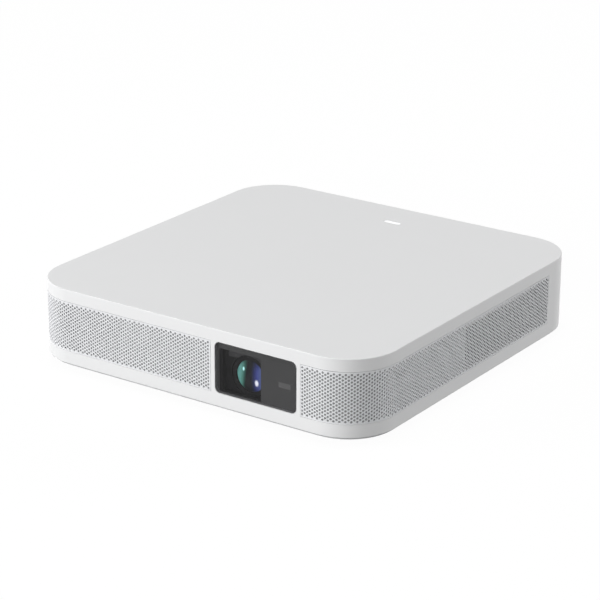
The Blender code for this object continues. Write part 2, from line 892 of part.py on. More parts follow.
def focus_ring():
    # Gear in front, cam tube with three helical slots behind it
    loop = gear_loop(ring_teeth, 0)
    hole = arc(0, 0, ring_bore, 0, 2 * math.pi, fine_steps)[:-1]
    gear_y = ring_front + gear_width / 2
    ring = plate("focus_ring", [loop, hole], (lens_x, gear_y, lens_z), outline_facing_y, gear_width)
    make_part(ring, "nylon")
    overlap = gear_width / 2
    profile = tube_profile(ring_radius, ring_bore, 0, ring_length - overlap)
    place = (lens_x, ring_front + overlap, lens_z)
    join(ring, turned("cam_tube", profile, place, axis_along_y, True, fine_steps))
    middle = (ring_bore + ring_radius) / 2
    slot_radius = math.hypot(pin_radius + gap, ring_wall / 2 + gap)
    past = (pin_radius + gap) / middle
    for i in range(pin_count):
        start = pin_turn + 2 * math.pi * i / pin_count
        points = []
        for step in range(slot_steps + 1):
            turn = (focus_turn + 2 * past) * step / slot_steps - past
            points.append((lens_x + middle * math.cos(start + turn), pin_y + focus_travel * turn / focus_turn,
                           lens_z + middle * math.sin(start + turn)))
        cut(ring, pipe("cam_slot_%d" % (i + 1), points, slot_radius))


def focus_pinion():
    loop = gear_loop(pinion_teeth, math.pi / pinion_teeth)
    middle = ring_front + gear_width / 2
    pinion = plate("focus_pinion", [loop], (pinion_x, middle, lens_z), outline_facing_y, gear_width)
    make_part(pinion, "brass")
    motor_front = engine_front - gap - motor_length
    shaft_rear = motor_front - motor_nose_length + motor_shaft_seat
    join(pinion, rod("motor_shaft", motor_shaft_radius, (pinion_x, middle, lens_z), shaft_rear - middle,
                     axis_along_y))
    motor = rod("focus_motor", motor_radius, (pinion_x, motor_front, lens_z), motor_length, axis_along_y)
    make_part(motor, "steel")
    join(motor, rod("motor_nose", motor_nose_radius, (pinion_x, motor_front - motor_nose_length, lens_z),
                    motor_nose_length + overrun, axis_along_y))
    cut(motor, rod("motor_bore", motor_shaft_radius + gap,
                   (pinion_x, motor_front - motor_nose_length - overrun, lens_z),
                   overrun + motor_shaft_seat + gap, axis_along_y))


def engine_housing():
    low = engine_floor
    high = low + engine_height
    wall = engine_wall
    housing = block("engine_housing", (engine_left, engine_front, low), (engine_right, engine_rear, high))
    make_part(housing, "engine black")
    floor = low + wall
    cut(housing, block("engine_hollow", (engine_left + wall, engine_front + wall, floor),
                       (engine_right - wall, engine_rear - wall, high + overrun)))
    half = pedestal_width / 2
    prism_front = engine_front + prism_setback
    seats = {
        "prism_seat": (prism_front, prism_front + prism_length, lens_z - prism_height / 2 - gap),
        "relay_seat": (relay_y - relay_edge, relay_y + relay_edge, lens_z - relay_radius - gap),
        "filter_seat": (engine_front + red_setback - half, engine_front + blue_setback + half,
                        lens_z - filter_height / 2 - gap),
    }
    for name, (near, far, top) in seats.items():
        join(housing, block(name, (lens_x - half, near, low + wall / 2), (lens_x + half, far, top)))
    cut(housing, rod("lens_port", barrel_bore, (lens_x, engine_front - overrun, lens_z), wall + 2 * overrun,
                     axis_along_y, fine_steps))
    port = collimator_radius + gap
    for name, setback in (("red_port", red_setback), ("blue_port", blue_setback)):
        cut(housing, rod(name, port, (engine_right - wall - overrun, engine_front + setback, lens_z),
                         wall + 2 * overrun, axis_along_x))
    cut(housing, rod("green_port", port, (lens_x, engine_rear - wall - overrun, lens_z), wall + 2 * overrun,
                     axis_along_y))
    y = mirror_y
    half_length = mirror_chip_length / 2 + gap
    half_height = mirror_chip_height / 2 + gap
    cut(housing, block("mirror_port", (engine_left - overrun, y - half_length, lens_z - half_height),
                       (engine_left + wall + overrun, y + half_length, lens_z + half_height)))
    make_part(block("engine_lid", (engine_left, engine_front, high + gap),
                    (engine_right, engine_rear, high + gap + engine_lid_thickness)), "engine black")


def engine_optics():
    half_width = prism_width / 2
    half_height = prism_height / 2
    front = engine_front + prism_setback
    rear = front + prism_length
    chamfer = prism_chamfer
    left = lens_x - half_width
    right = lens_x + half_width
    loop = [(left, front), (right - chamfer, front), (right, front + chamfer),
            (right, rear), (left + chamfer, rear), (left, rear - chamfer)]
    make_part(level("prism", [loop], lens_z - half_height, lens_z + half_height), "glass")
    profile = lens_profile(relay_radius, relay_edge + 2 * relay_bulge, relay_bulge, relay_bulge)
    profile = [(r, z - relay_edge / 2 - relay_bulge) for r, z in profile]
    make_part(turned("relay_lens", profile, (lens_x, relay_y, lens_z), axis_along_y), "glass")
    size = (filter_width / 2, filter_thickness / 2, filter_height / 2)
    for name, setback in (("red_filter", red_setback), ("blue_filter", blue_setback)):
        glass = block(name, [-s for s in size], size)
        glass.location = (lens_x, engine_front + setback, lens_z)
        glass.rotation_euler = (0, 0, math.pi / 4)
        make_part(glass, "glass")
    y = mirror_y
    half_length = mirror_board_length / 2
    half_height = mirror_board_height / 2
    right = engine_left - gap
    left = right - mirror_board_thickness
    board = make_part(block("micromirror_board", (left, y - half_length, lens_z - half_height),
                            (right, y + half_length, lens_z + half_height)), "board green")
    half_length = mirror_chip_length / 2
    half_height = mirror_chip_height / 2
    left += mirror_board_thickness / 2
    join(board, block("mirror_chip", (left, y - half_length, lens_z - half_height),
                      (right + mirror_chip_depth, y + half_length, lens_z + half_height)))


def light_module(name, centre, turn):
    # A board against the engine's wall, its collimator reaching in through the wall's port
    half_width = module_width / 2
    half_height = module_height / 2
    loop = rounded(-half_width, -half_height, half_width, half_height, module_thickness / 4)
    module = make_part(plate(name, [loop], centre, turn, module_thickness), "copper")
    inward = collimator_length + module_thickness / 2
    lay = axis_against_x if turn == outline_facing_x else axis_against_y
    join(module, rod(name + "_collimator", collimator_radius, centre, inward, lay))


def cooling_pieces():
    side_x = engine_right + gap + module_thickness / 2
    light_module("red_light_module", (side_x, engine_front + red_setback, lens_z), outline_facing_x)
    light_module("blue_light_module", (side_x, engine_front + blue_setback, lens_z), outline_facing_x)
    rear_place = engine_rear + gap + module_thickness / 2
    light_module("green_light_module", (lens_x, rear_place, lens_z), outline_facing_y)
    low = lens_z - spreader_height / 2
    high = lens_z + spreader_height / 2
    near = engine_right + 2 * gap + module_thickness
    middle = engine_front + (red_setback + blue_setback) / 2
    make_part(block("side_heat_spreader", (near, middle - side_spreader_length / 2, low),
                    (near + spreader_thickness, middle + side_spreader_length / 2, high)), "copper")
    side_pipe_x = near + spreader_thickness + gap + pipe_radius
    near = engine_rear + 2 * gap + module_thickness
    make_part(block("rear_heat_spreader", (lens_x - rear_spreader_length / 2, near, low),
                    (lens_x + rear_spreader_length / 2, near + spreader_thickness, high)), "copper")
    rear_pipe_y = near + spreader_thickness + gap + pipe_radius
    heat_pipes(side_pipe_x, rear_pipe_y)
    fin_stack()


def heat_pipes(side_pipe_x, rear_pipe_y):
    end = stack_rear + pipe_radius
    upper = lens_z + pipe_rise
    lower = lens_z - pipe_rise
    centre_x = (side_pipe_x + stack_x) / 2
    bend = (stack_x - side_pipe_x) / 2
    turn_y = speaker_rear + pipe_speaker_distance + pipe_radius + bend
    start = (side_pipe_x, engine_rear - side_pipe_start, upper)
    round_turn = [(u, v, upper) for u, v in arc(centre_x, turn_y, bend, math.pi, 2 * math.pi, 2 * arc_steps)]
    make_part(pipe("side_heat_pipe", [start] + round_turn + [(stack_x, end, upper)], pipe_radius), "copper")
    start = (lens_x - rear_spreader_length / 2, rear_pipe_y, lower)
    corner = arc(stack_x - pipe_bend, rear_pipe_y + pipe_bend, pipe_bend, -math.pi / 2, 0, arc_steps)
    corner = [(u, v, lower) for u, v in corner]
    make_part(pipe("rear_heat_pipe", [start] + corner + [(stack_x, end, lower)], pipe_radius), "copper")


def comb_loop(near, length, base, top, fins, thickness, low):
    # Plates standing on a base, seen from the side
    pitch = (length - thickness) / (fins - 1)
    loop = [(near + length, low), (near, low)]
    for fin in range(fins):
        start = near + fin * pitch
        loop += [(start, top), (start + thickness, top)]
        if fin < fins - 1:
            loop += [(start + thickness, low + base), (start + pitch, low + base)]
    return loop


def fin_stack():
    low = floor_z + gap
    loop = comb_loop(stack_rear - stack_length, stack_length, fin_base, low + stack_height, fin_count,
                     fin_thickness, low)
    half = stack_width / 2
    stack = make_part(facing_x("fin_stack", [loop], stack_x - half, stack_x + half), "aluminium")
    for name, z in (("upper_pipe_hole", lens_z + pipe_rise), ("lower_pipe_hole", lens_z - pipe_rise)):
        cut(stack, rod(name, pipe_radius + gap, (stack_x, stack_rear - stack_length - overrun, z),
                       stack_length + 2 * overrun, axis_along_y, small_steps))


def scroll_loop(inset, reach):
    # A growing spiral about the impeller, open towards the fins, where it flares
    x, y = blower_x, blower_y
    loop = []
    for step in range(round_steps + 1):
        share = step / round_steps
        angle = scroll_start + (scroll_end - scroll_start) * share
        radius = scroll_start_radius + (scroll_end_radius - scroll_start_radius) * share - inset
        loop.append((x + radius * math.cos(angle), y + radius * math.sin(angle)))
    right = stack_left - gap + reach
    top = y + scroll_start_radius * math.sin(scroll_start) + scroll_flare - inset
    return loop + [(right, y - scroll_end_radius + inset), (right, top)]


def blower():
    low = floor_z + gap
    x, y = blower_x, blower_y
    lid_low = low + blower_height - blower_lid
    housing = make_part(level("blower_housing", [scroll_loop(0, 0)], low, lid_low - gap), "dark plastic")
    deck = low + blower_floor
    cut(housing, level("blower_hollow", [scroll_loop(blower_wall, overrun)], deck, low + blower_height))
    stub_radius = hub_pocket_radius - impeller_clearance
    impeller_low = deck + impeller_clearance
    impeller_high = lid_low - gap - impeller_clearance
    stub_top = impeller_high - hub_roof - gap
    stub_low = deck - blower_floor / 2
    join(housing, rod("blower_stub", stub_radius, (x, y, stub_low), stub_top - stub_low))
    inlet = arc(x, y, blower_inlet_radius, 0, 2 * math.pi, round_steps)[:-1]
    make_part(level("blower_lid", [scroll_loop(0, 0), inlet], lid_low, lid_low + blower_lid), "dark plastic")
    middle = (impeller_low + impeller_high) / 2
    impeller = make_part(plate("fan_impeller", [blade_loop()], (x, y, middle), upright,
                               impeller_high - impeller_low), "dark plastic")
    cut(impeller, rod("hub_pocket", hub_pocket_radius, (x, y, impeller_low - overrun),
                      impeller_high - hub_roof - impeller_low + overrun))


def blade_loop():
    loop = []
    for blade in range(impeller_blades):
        start = 2 * math.pi * blade / impeller_blades
        leading = []
        trailing = []
        for step in range(dome_steps):
            share = step / (dome_steps - 1)
            radius = impeller_hub_radius + (impeller_radius - impeller_hub_radius) * share
            middle = start - impeller_sweep * share
            half = impeller_blade_thickness / 2 / radius
            leading.append((radius * math.cos(middle - half), radius * math.sin(middle - half)))
            trailing.append((radius * math.cos(middle + half), radius * math.sin(middle + half)))
        loop += leading + trailing[::-1]
    return loop


def mainboard():
    board = make_part(block("mainboard", (board_left, board_front, board_bottom),
                            (board_left + board_width, board_rear, board_top)), "board green")
    for corner, (x, y) in post_places().items():
        cut(board, rod("board_hole_" + corner, board_pin_radius + gap, (x, y, board_bottom - overrun),
                       board_thickness + 2 * overrun, steps=small_steps))
    left = board_left + cooler_left_share * board_width
    near = board_front + cooler_front
    cooler_width = cooler_width_share * board_width
    chip = cooler_width * chip_side_share
    x = left + cooler_width / 2
    y = near + cooler_length / 2
    join(board, block("processor", (x - chip / 2, y - chip / 2, board_top - board_thickness / 2),
                      (x + chip / 2, y + chip / 2, board_top + chip_height)))
    low = board_top + chip_height + gap
    loop = comb_loop(left, cooler_width, cooler_base, low + cooler_height, cooler_fins, fin_thickness, low)
    make_part(facing_y("processor_heatsink", [loop], near, near + cooler_length), "aluminium")


def port_hole(name, x, width, low, height, corner):
    loop = rounded(x - width / 2 - gap, low - gap, x + width / 2 + gap, low + height + gap, corner)
    return facing_y(name, [loop], inner_rear - panel_flange_thickness - overrun, rear_y + overrun)


def rear_port_panel():
    flange_rear = inner_rear - gap
    flange_front = flange_rear - panel_flange_thickness
    panel = make_part(facing_y("rear_port_panel", [panel_loop(0)], flange_front, panel_outer), "dark plastic")
    join(panel, facing_y("panel_flange", [panel_loop(panel_flange)], flange_front, flange_rear))
    shell_corner = port_metal
    cut(panel, port_hole("power_jack_hole", panel_left + power_jack_offset, power_jack_width, port_z,
                         power_jack_height, shell_corner),
        port_hole("video_hole", panel_left + video_offset, video_width, port_z, video_height, shell_corner),
        port_hole("data_hole", panel_left + data_offset, data_width, port_z, data_height, shell_corner),
        port_hole("sound_hole", panel_left + sound_offset, sound_side, port_z, sound_side, shell_corner))
    cut(panel, rod("button_hole", button_radius + gap, (panel_left + button_offset, flange_front - overrun,
                                                        panel_centre_z),
                   panel_outer - flange_front + 2 * overrun, axis_along_y))


def hollow_port(name, x, width, height, depth, tongue, tongue_low):
    # A pressed metal mouth with a contact tongue standing out of its closed rear end
    wall = port_metal
    near = port_face - depth
    port = block(name, (x - width / 2, near, port_z), (x + width / 2, port_face, port_z + height))
    make_part(port, "steel")
    cut(port, block(name + "_mouth", (x - width / 2 + wall, near + 2 * wall, port_z + wall),
                    (x + width / 2 - wall, port_face + overrun, port_z + height - wall)))
    side = width / 2 - 3 * wall
    low = port_z + tongue_low
    join(port, block(name + "_tongue", (x - side, near + wall, low),
                     (x + side, port_face - 2 * wall, low + tongue)))


def ports():
    x = panel_left + power_jack_offset
    half = power_jack_width / 2
    jack = make_part(block("dc_jack", (x - half, port_face - power_jack_depth, port_z),
                           (x + half, port_face, port_z + power_jack_height)), "dark plastic")
    z = port_z + power_jack_height / 2
    bottom = port_face - power_bore_depth
    cut(jack, rod("power_bore", power_bore_radius, (x, bottom, z), power_bore_depth + overrun, axis_along_y))
    join(jack, rod("power_pin", power_pin_radius, (x, bottom - overrun, z), power_bore_depth + overrun / 2,
                   axis_along_y, small_steps))
    hollow_port("video_port", panel_left + video_offset, video_width, video_height, video_depth, video_tongue,
                (video_height - video_tongue) / 2)
    hollow_port("data_port", panel_left + data_offset, data_width, data_height, data_depth, data_tongue,
                data_height - port_metal - 2 * data_tongue / 3 - data_tongue)
    x = panel_left + sound_offset
    half = sound_side / 2
    sound = make_part(block("audio_jack", (x - half, port_face - sound_depth, port_z),
                            (x + half, port_face, port_z + sound_side)), "dark plastic")
    cut(sound, rod("sound_bore", sound_bore_radius, (x, port_face - sound_bore_depth, port_z + half),
                   sound_bore_depth + overrun, axis_along_y))


def power_button():
    x = panel_left + button_offset
    face = panel_outer
    cap_rear = face - button_length
    button = rod("power_button", button_radius, (x, cap_rear, panel_centre_z), button_length, axis_along_y)
    make_part(button, "dark plastic")
    lip = button_radius + gap + panel_flange / 2
    flange_rear = inner_rear - gap - panel_flange_thickness - gap
    flange_length = panel_flange_thickness / 2
    stem_start = flange_rear - flange_length
    join(button, rod("button_lip", lip, (x, stem_start, panel_centre_z), flange_length, axis_along_y))
    stem_length = button_travel + gap
    join(button, rod("button_stem", button_stem_radius, (x, stem_start - stem_length, panel_centre_z),
                     stem_length + flange_length / 2, axis_along_y))
    near = stem_start - stem_length - button_travel - gap
    half = switch_side / 2
    make_part(block("power_switch", (x - half, near - switch_depth, port_z),
                    (x + half, near, panel_centre_z + half)), "steel")


def antenna():
    # Midway between the port panel and the corner
    middle = (panel_left + panel_width + body_width / 2 - corner_radius) / 2
    half = antenna_width / 2
    low = body_bottom + antenna_low
    make_part(block("antenna_board", (middle - half, inner_rear - gap - antenna_thickness, low),
                    (middle + half, inner_rear - gap, low + antenna_height)), "board green")


def speakers():
    y, z = speaker_middle()
    half_length = speaker_length / 2
    face = inner_side - speaker_standoff
    low = floor_z + gap
    basket_bore = driver_radius - driver_flange
    for side, name in ((-1, "left"), (1, "right")):
        xs = sorted((side * face, side * (face - speaker_depth)))
        wall = speaker_wall
        box = make_part(block(name + "_speaker_box", (xs[0], y - half_length, low),
                              (xs[1], y + half_length, low + speaker_height)), "dark plastic")
        cut(box, block(name + "_box_hollow", (xs[0] + wall, y - half_length + wall, low + wall),
                       (xs[1] - wall, y + half_length - wall, low + speaker_height - wall)))
        outward = axis_along_x if side > 0 else axis_against_x
        inner_x = side * (face - wall - overrun)
        shoulder = basket_bore + driver_flange / 3
        cut(box, rod(name + "_driver_hole", shoulder + gap, (inner_x, y, z), wall + 2 * overrun, outward))
        top = gap + driver_flange_thickness
        deep = -driver_basket_depth
        magnet_end = deep - driver_magnet_depth
        profile = [(0, deep + driver_floor), (basket_bore - 2 * driver_flange, deep + driver_floor),
                   (basket_bore, -driver_flange_thickness), (basket_bore, top), (driver_radius, top),
                   (driver_radius, gap), (shoulder, gap), (shoulder, -driver_flange),
                   (driver_magnet_radius, deep), (driver_magnet_radius, magnet_end), (0, magnet_end)]
        make_part(turned(name + "_speaker_driver", profile, (side * face, y, z), outward), "steel")
        edge = basket_bore - cone_clearance
        thick = cone_thickness
        rim = top - gap
        cap = rim - cone_drop / 2
        neck = rim - cone_drop
        cone = [(0, cap), (cone_cap_radius, neck), (edge, rim), (edge, rim - thick),
                (cone_cap_radius, neck - thick), (0, cap - thick)]
        make_part(turned(name + "_speaker_cone", cone, (side * face, y, z), outward), "cone paper")


empty_scene()
part_group = new_collection("portable_projector")
cutter_group = new_collection("cutters")
upper_shell()
bottom_cover()
grille(-1, "left_grille")
grille(1, "right_grille")
lens_window()
window_bezel()
autofocus_sensor()
status_light()
feet()
cover_screws()
tripod_insert()
lens_cell()
lens_barrel()
focus_ring()
focus_pinion()
engine_housing()
engine_optics()
cooling_pieces()
blower()
mainboard()
rear_port_panel()
ports()
power_button()
antenna()
speakers()
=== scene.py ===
import json
import math

import bmesh
import bpy
from mathutils import Matrix, Vector

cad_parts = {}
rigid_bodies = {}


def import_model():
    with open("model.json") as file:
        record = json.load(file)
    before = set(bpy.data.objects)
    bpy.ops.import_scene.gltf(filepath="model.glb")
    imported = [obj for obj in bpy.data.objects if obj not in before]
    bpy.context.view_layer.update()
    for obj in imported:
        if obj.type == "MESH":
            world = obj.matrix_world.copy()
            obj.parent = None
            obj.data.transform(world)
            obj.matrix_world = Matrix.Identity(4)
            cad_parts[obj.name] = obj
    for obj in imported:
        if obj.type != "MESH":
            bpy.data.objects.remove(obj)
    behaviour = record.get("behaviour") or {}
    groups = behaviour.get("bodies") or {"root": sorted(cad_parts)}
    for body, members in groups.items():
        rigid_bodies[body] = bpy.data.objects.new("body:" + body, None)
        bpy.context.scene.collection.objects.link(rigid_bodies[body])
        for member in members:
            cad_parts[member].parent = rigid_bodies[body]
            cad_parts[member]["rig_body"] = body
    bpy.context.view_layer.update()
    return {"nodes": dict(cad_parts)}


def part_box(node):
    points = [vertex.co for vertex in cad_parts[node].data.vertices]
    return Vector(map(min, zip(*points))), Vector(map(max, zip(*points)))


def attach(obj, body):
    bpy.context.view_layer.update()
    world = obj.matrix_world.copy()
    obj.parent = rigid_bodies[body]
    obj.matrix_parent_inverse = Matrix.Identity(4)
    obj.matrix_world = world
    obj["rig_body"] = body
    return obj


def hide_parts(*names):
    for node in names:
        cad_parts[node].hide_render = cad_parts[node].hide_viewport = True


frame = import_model()
nodes = frame["nodes"]
mm = 0.001
print("projector: frame loaded")

# Values that all pieces share: lengths in m, turns in degrees
commonValues = {
    "cornerRadius": 25.8 * mm,   # of the housing's upright corners
    "mergeGap": 0.002 * mm, "flatTurn": 0.4, "bevelTurn": 35, "smoothTurn": 30, "reliefDepth": 0.02 * mm,
    "grainDetail": 3.0,
}


# Small helpers for node trees, shading and meshes

def mathNode(tree, operation, *values):
    node = tree.nodes.new("ShaderNodeMath")
    node.operation = operation
    for socket, value in zip(node.inputs, values):
        if isinstance(value, bpy.types.NodeSocket):
            tree.links.new(value, socket)
        else:
            socket.default_value = value
    return node.outputs[0]


def noiseNode(tree, place, size, detail=2.0):
    node = tree.nodes.new("ShaderNodeTexNoise")
    tree.links.new(place, node.inputs["Vector"])
    node.inputs["Scale"].default_value = 1 / size
    node.inputs["Detail"].default_value = detail
    return node.outputs[0]


def rangeNode(tree, value, low, high, fromLow=0.3, fromHigh=0.7, smooth=False):
    node = tree.nodes.new("ShaderNodeMapRange")
    node.interpolation_type = "SMOOTHSTEP" if smooth else "LINEAR"
    tree.links.new(value, node.inputs["Value"])
    for name, number in (("From Min", fromLow), ("From Max", fromHigh), ("To Min", low), ("To Max", high)):
        node.inputs[name].default_value = number
    return node.outputs["Result"]


def mixNode(tree, factor, first, second):
    node = tree.nodes.new("ShaderNodeMix")
    node.data_type = "RGBA"
    tree.links.new(factor, node.inputs[0])
    for socket, value in ((node.inputs[6], first), (node.inputs[7], second)):
        if isinstance(value, bpy.types.NodeSocket):
            tree.links.new(value, socket)
        else:
            socket.default_value = (*value, 1)
    return node.outputs[2]


def newFinish(name):
    material = bpy.data.materials.new("finish_" + name)
    material.use_nodes = True
    tree = material.node_tree
    place = tree.nodes.new("ShaderNodeTexCoord").outputs["Object"]
    return material, tree, place, tree.nodes["Principled BSDF"]


# Base colour with broad patches, roughness with a spread and a fine relief, all from noise on the object
def makeFinish(name, values):
    material, tree, place, shader = newFinish(name)
    if "stretch" in values:
        mapping = tree.nodes.new("ShaderNodeMapping")
        mapping.inputs["Scale"].default_value = values["stretch"]
        tree.links.new(place, mapping.inputs["Vector"])
        place = mapping.outputs[0]
    colour, vary = values["colour"], values["vary"]
    dark = tuple(channel * (1 - vary) for channel in colour)
    pale = tuple(min(channel * (1 + vary), 1) for channel in colour)
    patches = noiseNode(tree, place, values["patch"])
    grain = noiseNode(tree, place, values["grain"], commonValues["grainDetail"])
    tree.links.new(mixNode(tree, patches, dark, pale), shader.inputs["Base Color"])
    spread = rangeNode(tree, grain, values["rough"] - values["spread"], values["rough"] + values["spread"])
    tree.links.new(spread, shader.inputs["Roughness"])
    bump = tree.nodes.new("ShaderNodeBump")
    bump.inputs["Strength"].default_value = values["relief"]
    bump.inputs["Distance"].default_value = commonValues["reliefDepth"]
    tree.links.new(grain, bump.inputs["Height"])
    tree.links.new(bump.outputs[0], shader.inputs["Normal"])
    for socket in ("Metallic", "Specular IOR Level", "Coat Weight", "Transmission Weight", "IOR"):
        if socket in values:
            shader.inputs[socket].default_value = values[socket]
    if "glow" in values:
        shader.inputs["Emission Color"].default_value = (1, 1, 1, 1)
        tree.links.new(rangeNode(tree, patches, *values["glow"]), shader.inputs["Emission Strength"])
    return material


def addPiece(name, mesh, material, body="housing"):
    piece = bpy.data.objects.new(name, mesh)
    bpy.context.scene.collection.objects.link(piece)
    if material:
        mesh.materials.clear()
        mesh.materials.append(material)
    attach(piece, body)
    return piece


def smoothMesh(mesh, degrees=commonValues["smoothTurn"]):
    mesh.polygons.foreach_set("use_smooth", [True] * len(mesh.polygons))
    mesh.set_sharp_from_angle(angle=math.radians(degrees))


# A node's mesh with its doubles merged and its flat faces joined, so that edges can be rounded
def cleanCopy(name, flat=commonValues["flatTurn"]):
    mesh = nodes[name].data.copy()
    mesh.name = name + "_form"
    form = bmesh.new()
    form.from_mesh(mesh)
    bmesh.ops.remove_doubles(form, verts=form.verts, dist=commonValues["mergeGap"])
    bmesh.ops.dissolve_limit(form, angle_limit=math.radians(flat), verts=form.verts, edges=form.edges)
    bmesh.ops.recalc_face_normals(form, faces=form.faces)
    form.to_mesh(mesh)
    form.free()
    for attribute in ("custom_normal", "sharp_edge", "sharp_face"):
        if attribute in mesh.attributes:
            mesh.attributes.remove(mesh.attributes[attribute])
    return mesh


def addBevel(piece, width, segments=2, limit="ANGLE"):
    bevel = piece.modifiers.new("edges", "BEVEL")
    bevel.width = width
    bevel.segments = segments
    bevel.limit_method = limit
    bevel.angle_limit = math.radians(commonValues["bevelTurn"])
    bevel.harden_normals = False
    bevel.miter_outer = "MITER_ARC" if limit == "ANGLE" else "MITER_SHARP"


def meshFrom(form, name):
    mesh = bpy.data.meshes.new(name)
    form.to_mesh(mesh)
    form.free()
    return mesh


# A plate across y, filled between an outline and the rings in it, all as points (x, z)
def plateMesh(name, outline, holes, y, thickness):
    form = bmesh.new()
    edges = []
    for ring in [outline] + holes:
        loop = [form.verts.new((x, y, z)) for x, z in ring]
        edges += [form.edges.new((loop[i], loop[(i + 1) % len(loop)])) for i in range(len(loop))]
    filled = bmesh.ops.triangle_fill(form, edges=edges, use_beauty=True, normal=(0, -1, 0))
    faces = [face for face in filled["geom"] if isinstance(face, bmesh.types.BMFace)]
    raised = bmesh.ops.extrude_face_region(form, geom=faces, use_keep_orig=True)
    moved = [vert for vert in raised["geom"] if isinstance(vert, bmesh.types.BMVert)]
    bmesh.ops.translate(form, verts=moved, vec=(0, thickness, 0))
    bmesh.ops.recalc_face_normals(form, faces=form.faces)
    return meshFrom(form, name)


def roundedRing(left, right, low, high, radius, steps=8):
    ring = []
    for x, z, start in ((right - radius, high - radius, 0), (left + radius, high - radius, 90),
                        (left + radius, low + radius, 180), (right - radius, low + radius, 270)):
        for step in range(steps + 1):
            turn = math.radians(start + 90 * step / steps)
            ring.append((x + radius * math.cos(turn), z + radius * math.sin(turn)))
    return ring


# Several closed boxes as one mesh, each given by its low and high corners in mm
def boxesMesh(name, boxes):
    form = bmesh.new()
    for low, high in boxes:
        size = [last - first for first, last in zip(low, high)]
        middle = [(last + first) / 2 for first, last in zip(low, high)]
        bmesh.ops.create_cube(form, size=1, matrix=Matrix.Translation(middle) @ Matrix.Diagonal((*size, 1)))
    bmesh.ops.scale(form, vec=(mm, mm, mm), verts=form.verts)
    return meshFrom(form, name)


# Closed profiles of (radius, distance along the axis) turned round axes along y or z, all in mm
def turnedMesh(name, bodies, steps=32):
    form = bmesh.new()
    for centre, axis, profile in bodies:
        rings = []
        for step in range(steps):
            turn = 2 * math.pi * step / steps
            across, up = math.cos(turn), math.sin(turn)
            offsets = [(r * across, along, r * up) if axis == "y" else (r * across, r * up, along)
                       for r, along in profile]
            rings.append([form.verts.new(Vector(centre) + Vector(offset)) for offset in offsets])
        for i in range(steps):
            first, last = rings[i], rings[(i + 1) % steps]
            for j in range(len(profile)):
                k = (j + 1) % len(profile)
                if profile[j][0] or profile[k][0]:   # no face along the axis itself
                    form.faces.new((first[j], last[j], last[k], first[k]))
    bmesh.ops.scale(form, vec=(mm, mm, mm), verts=form.verts)
    bmesh.ops.remove_doubles(form, verts=form.verts, dist=commonValues["mergeGap"])
    bmesh.ops.recalc_face_normals(form, faces=form.faces)
    return meshFrom(form, name)


# One closed mesh from rings of points in a row, capped at both ends or joined from the last ring to the first
def sweepMesh(name, rings, joined=False):
    form = bmesh.new()
    loops = [[form.verts.new(point) for point in ring] for ring in rings]
    for first, last in zip(loops, loops[1:] + loops[:1] if joined else loops[1:]):
        for i in range(len(first)):
            k = (i + 1) % len(first)
            form.faces.new((first[i], first[k], last[k], last[i]))
    if not joined:
        form.faces.new(loops[0])
        form.faces.new(loops[-1])
    bmesh.ops.recalc_face_normals(form, faces=form.faces)
    return meshFrom(form, name)


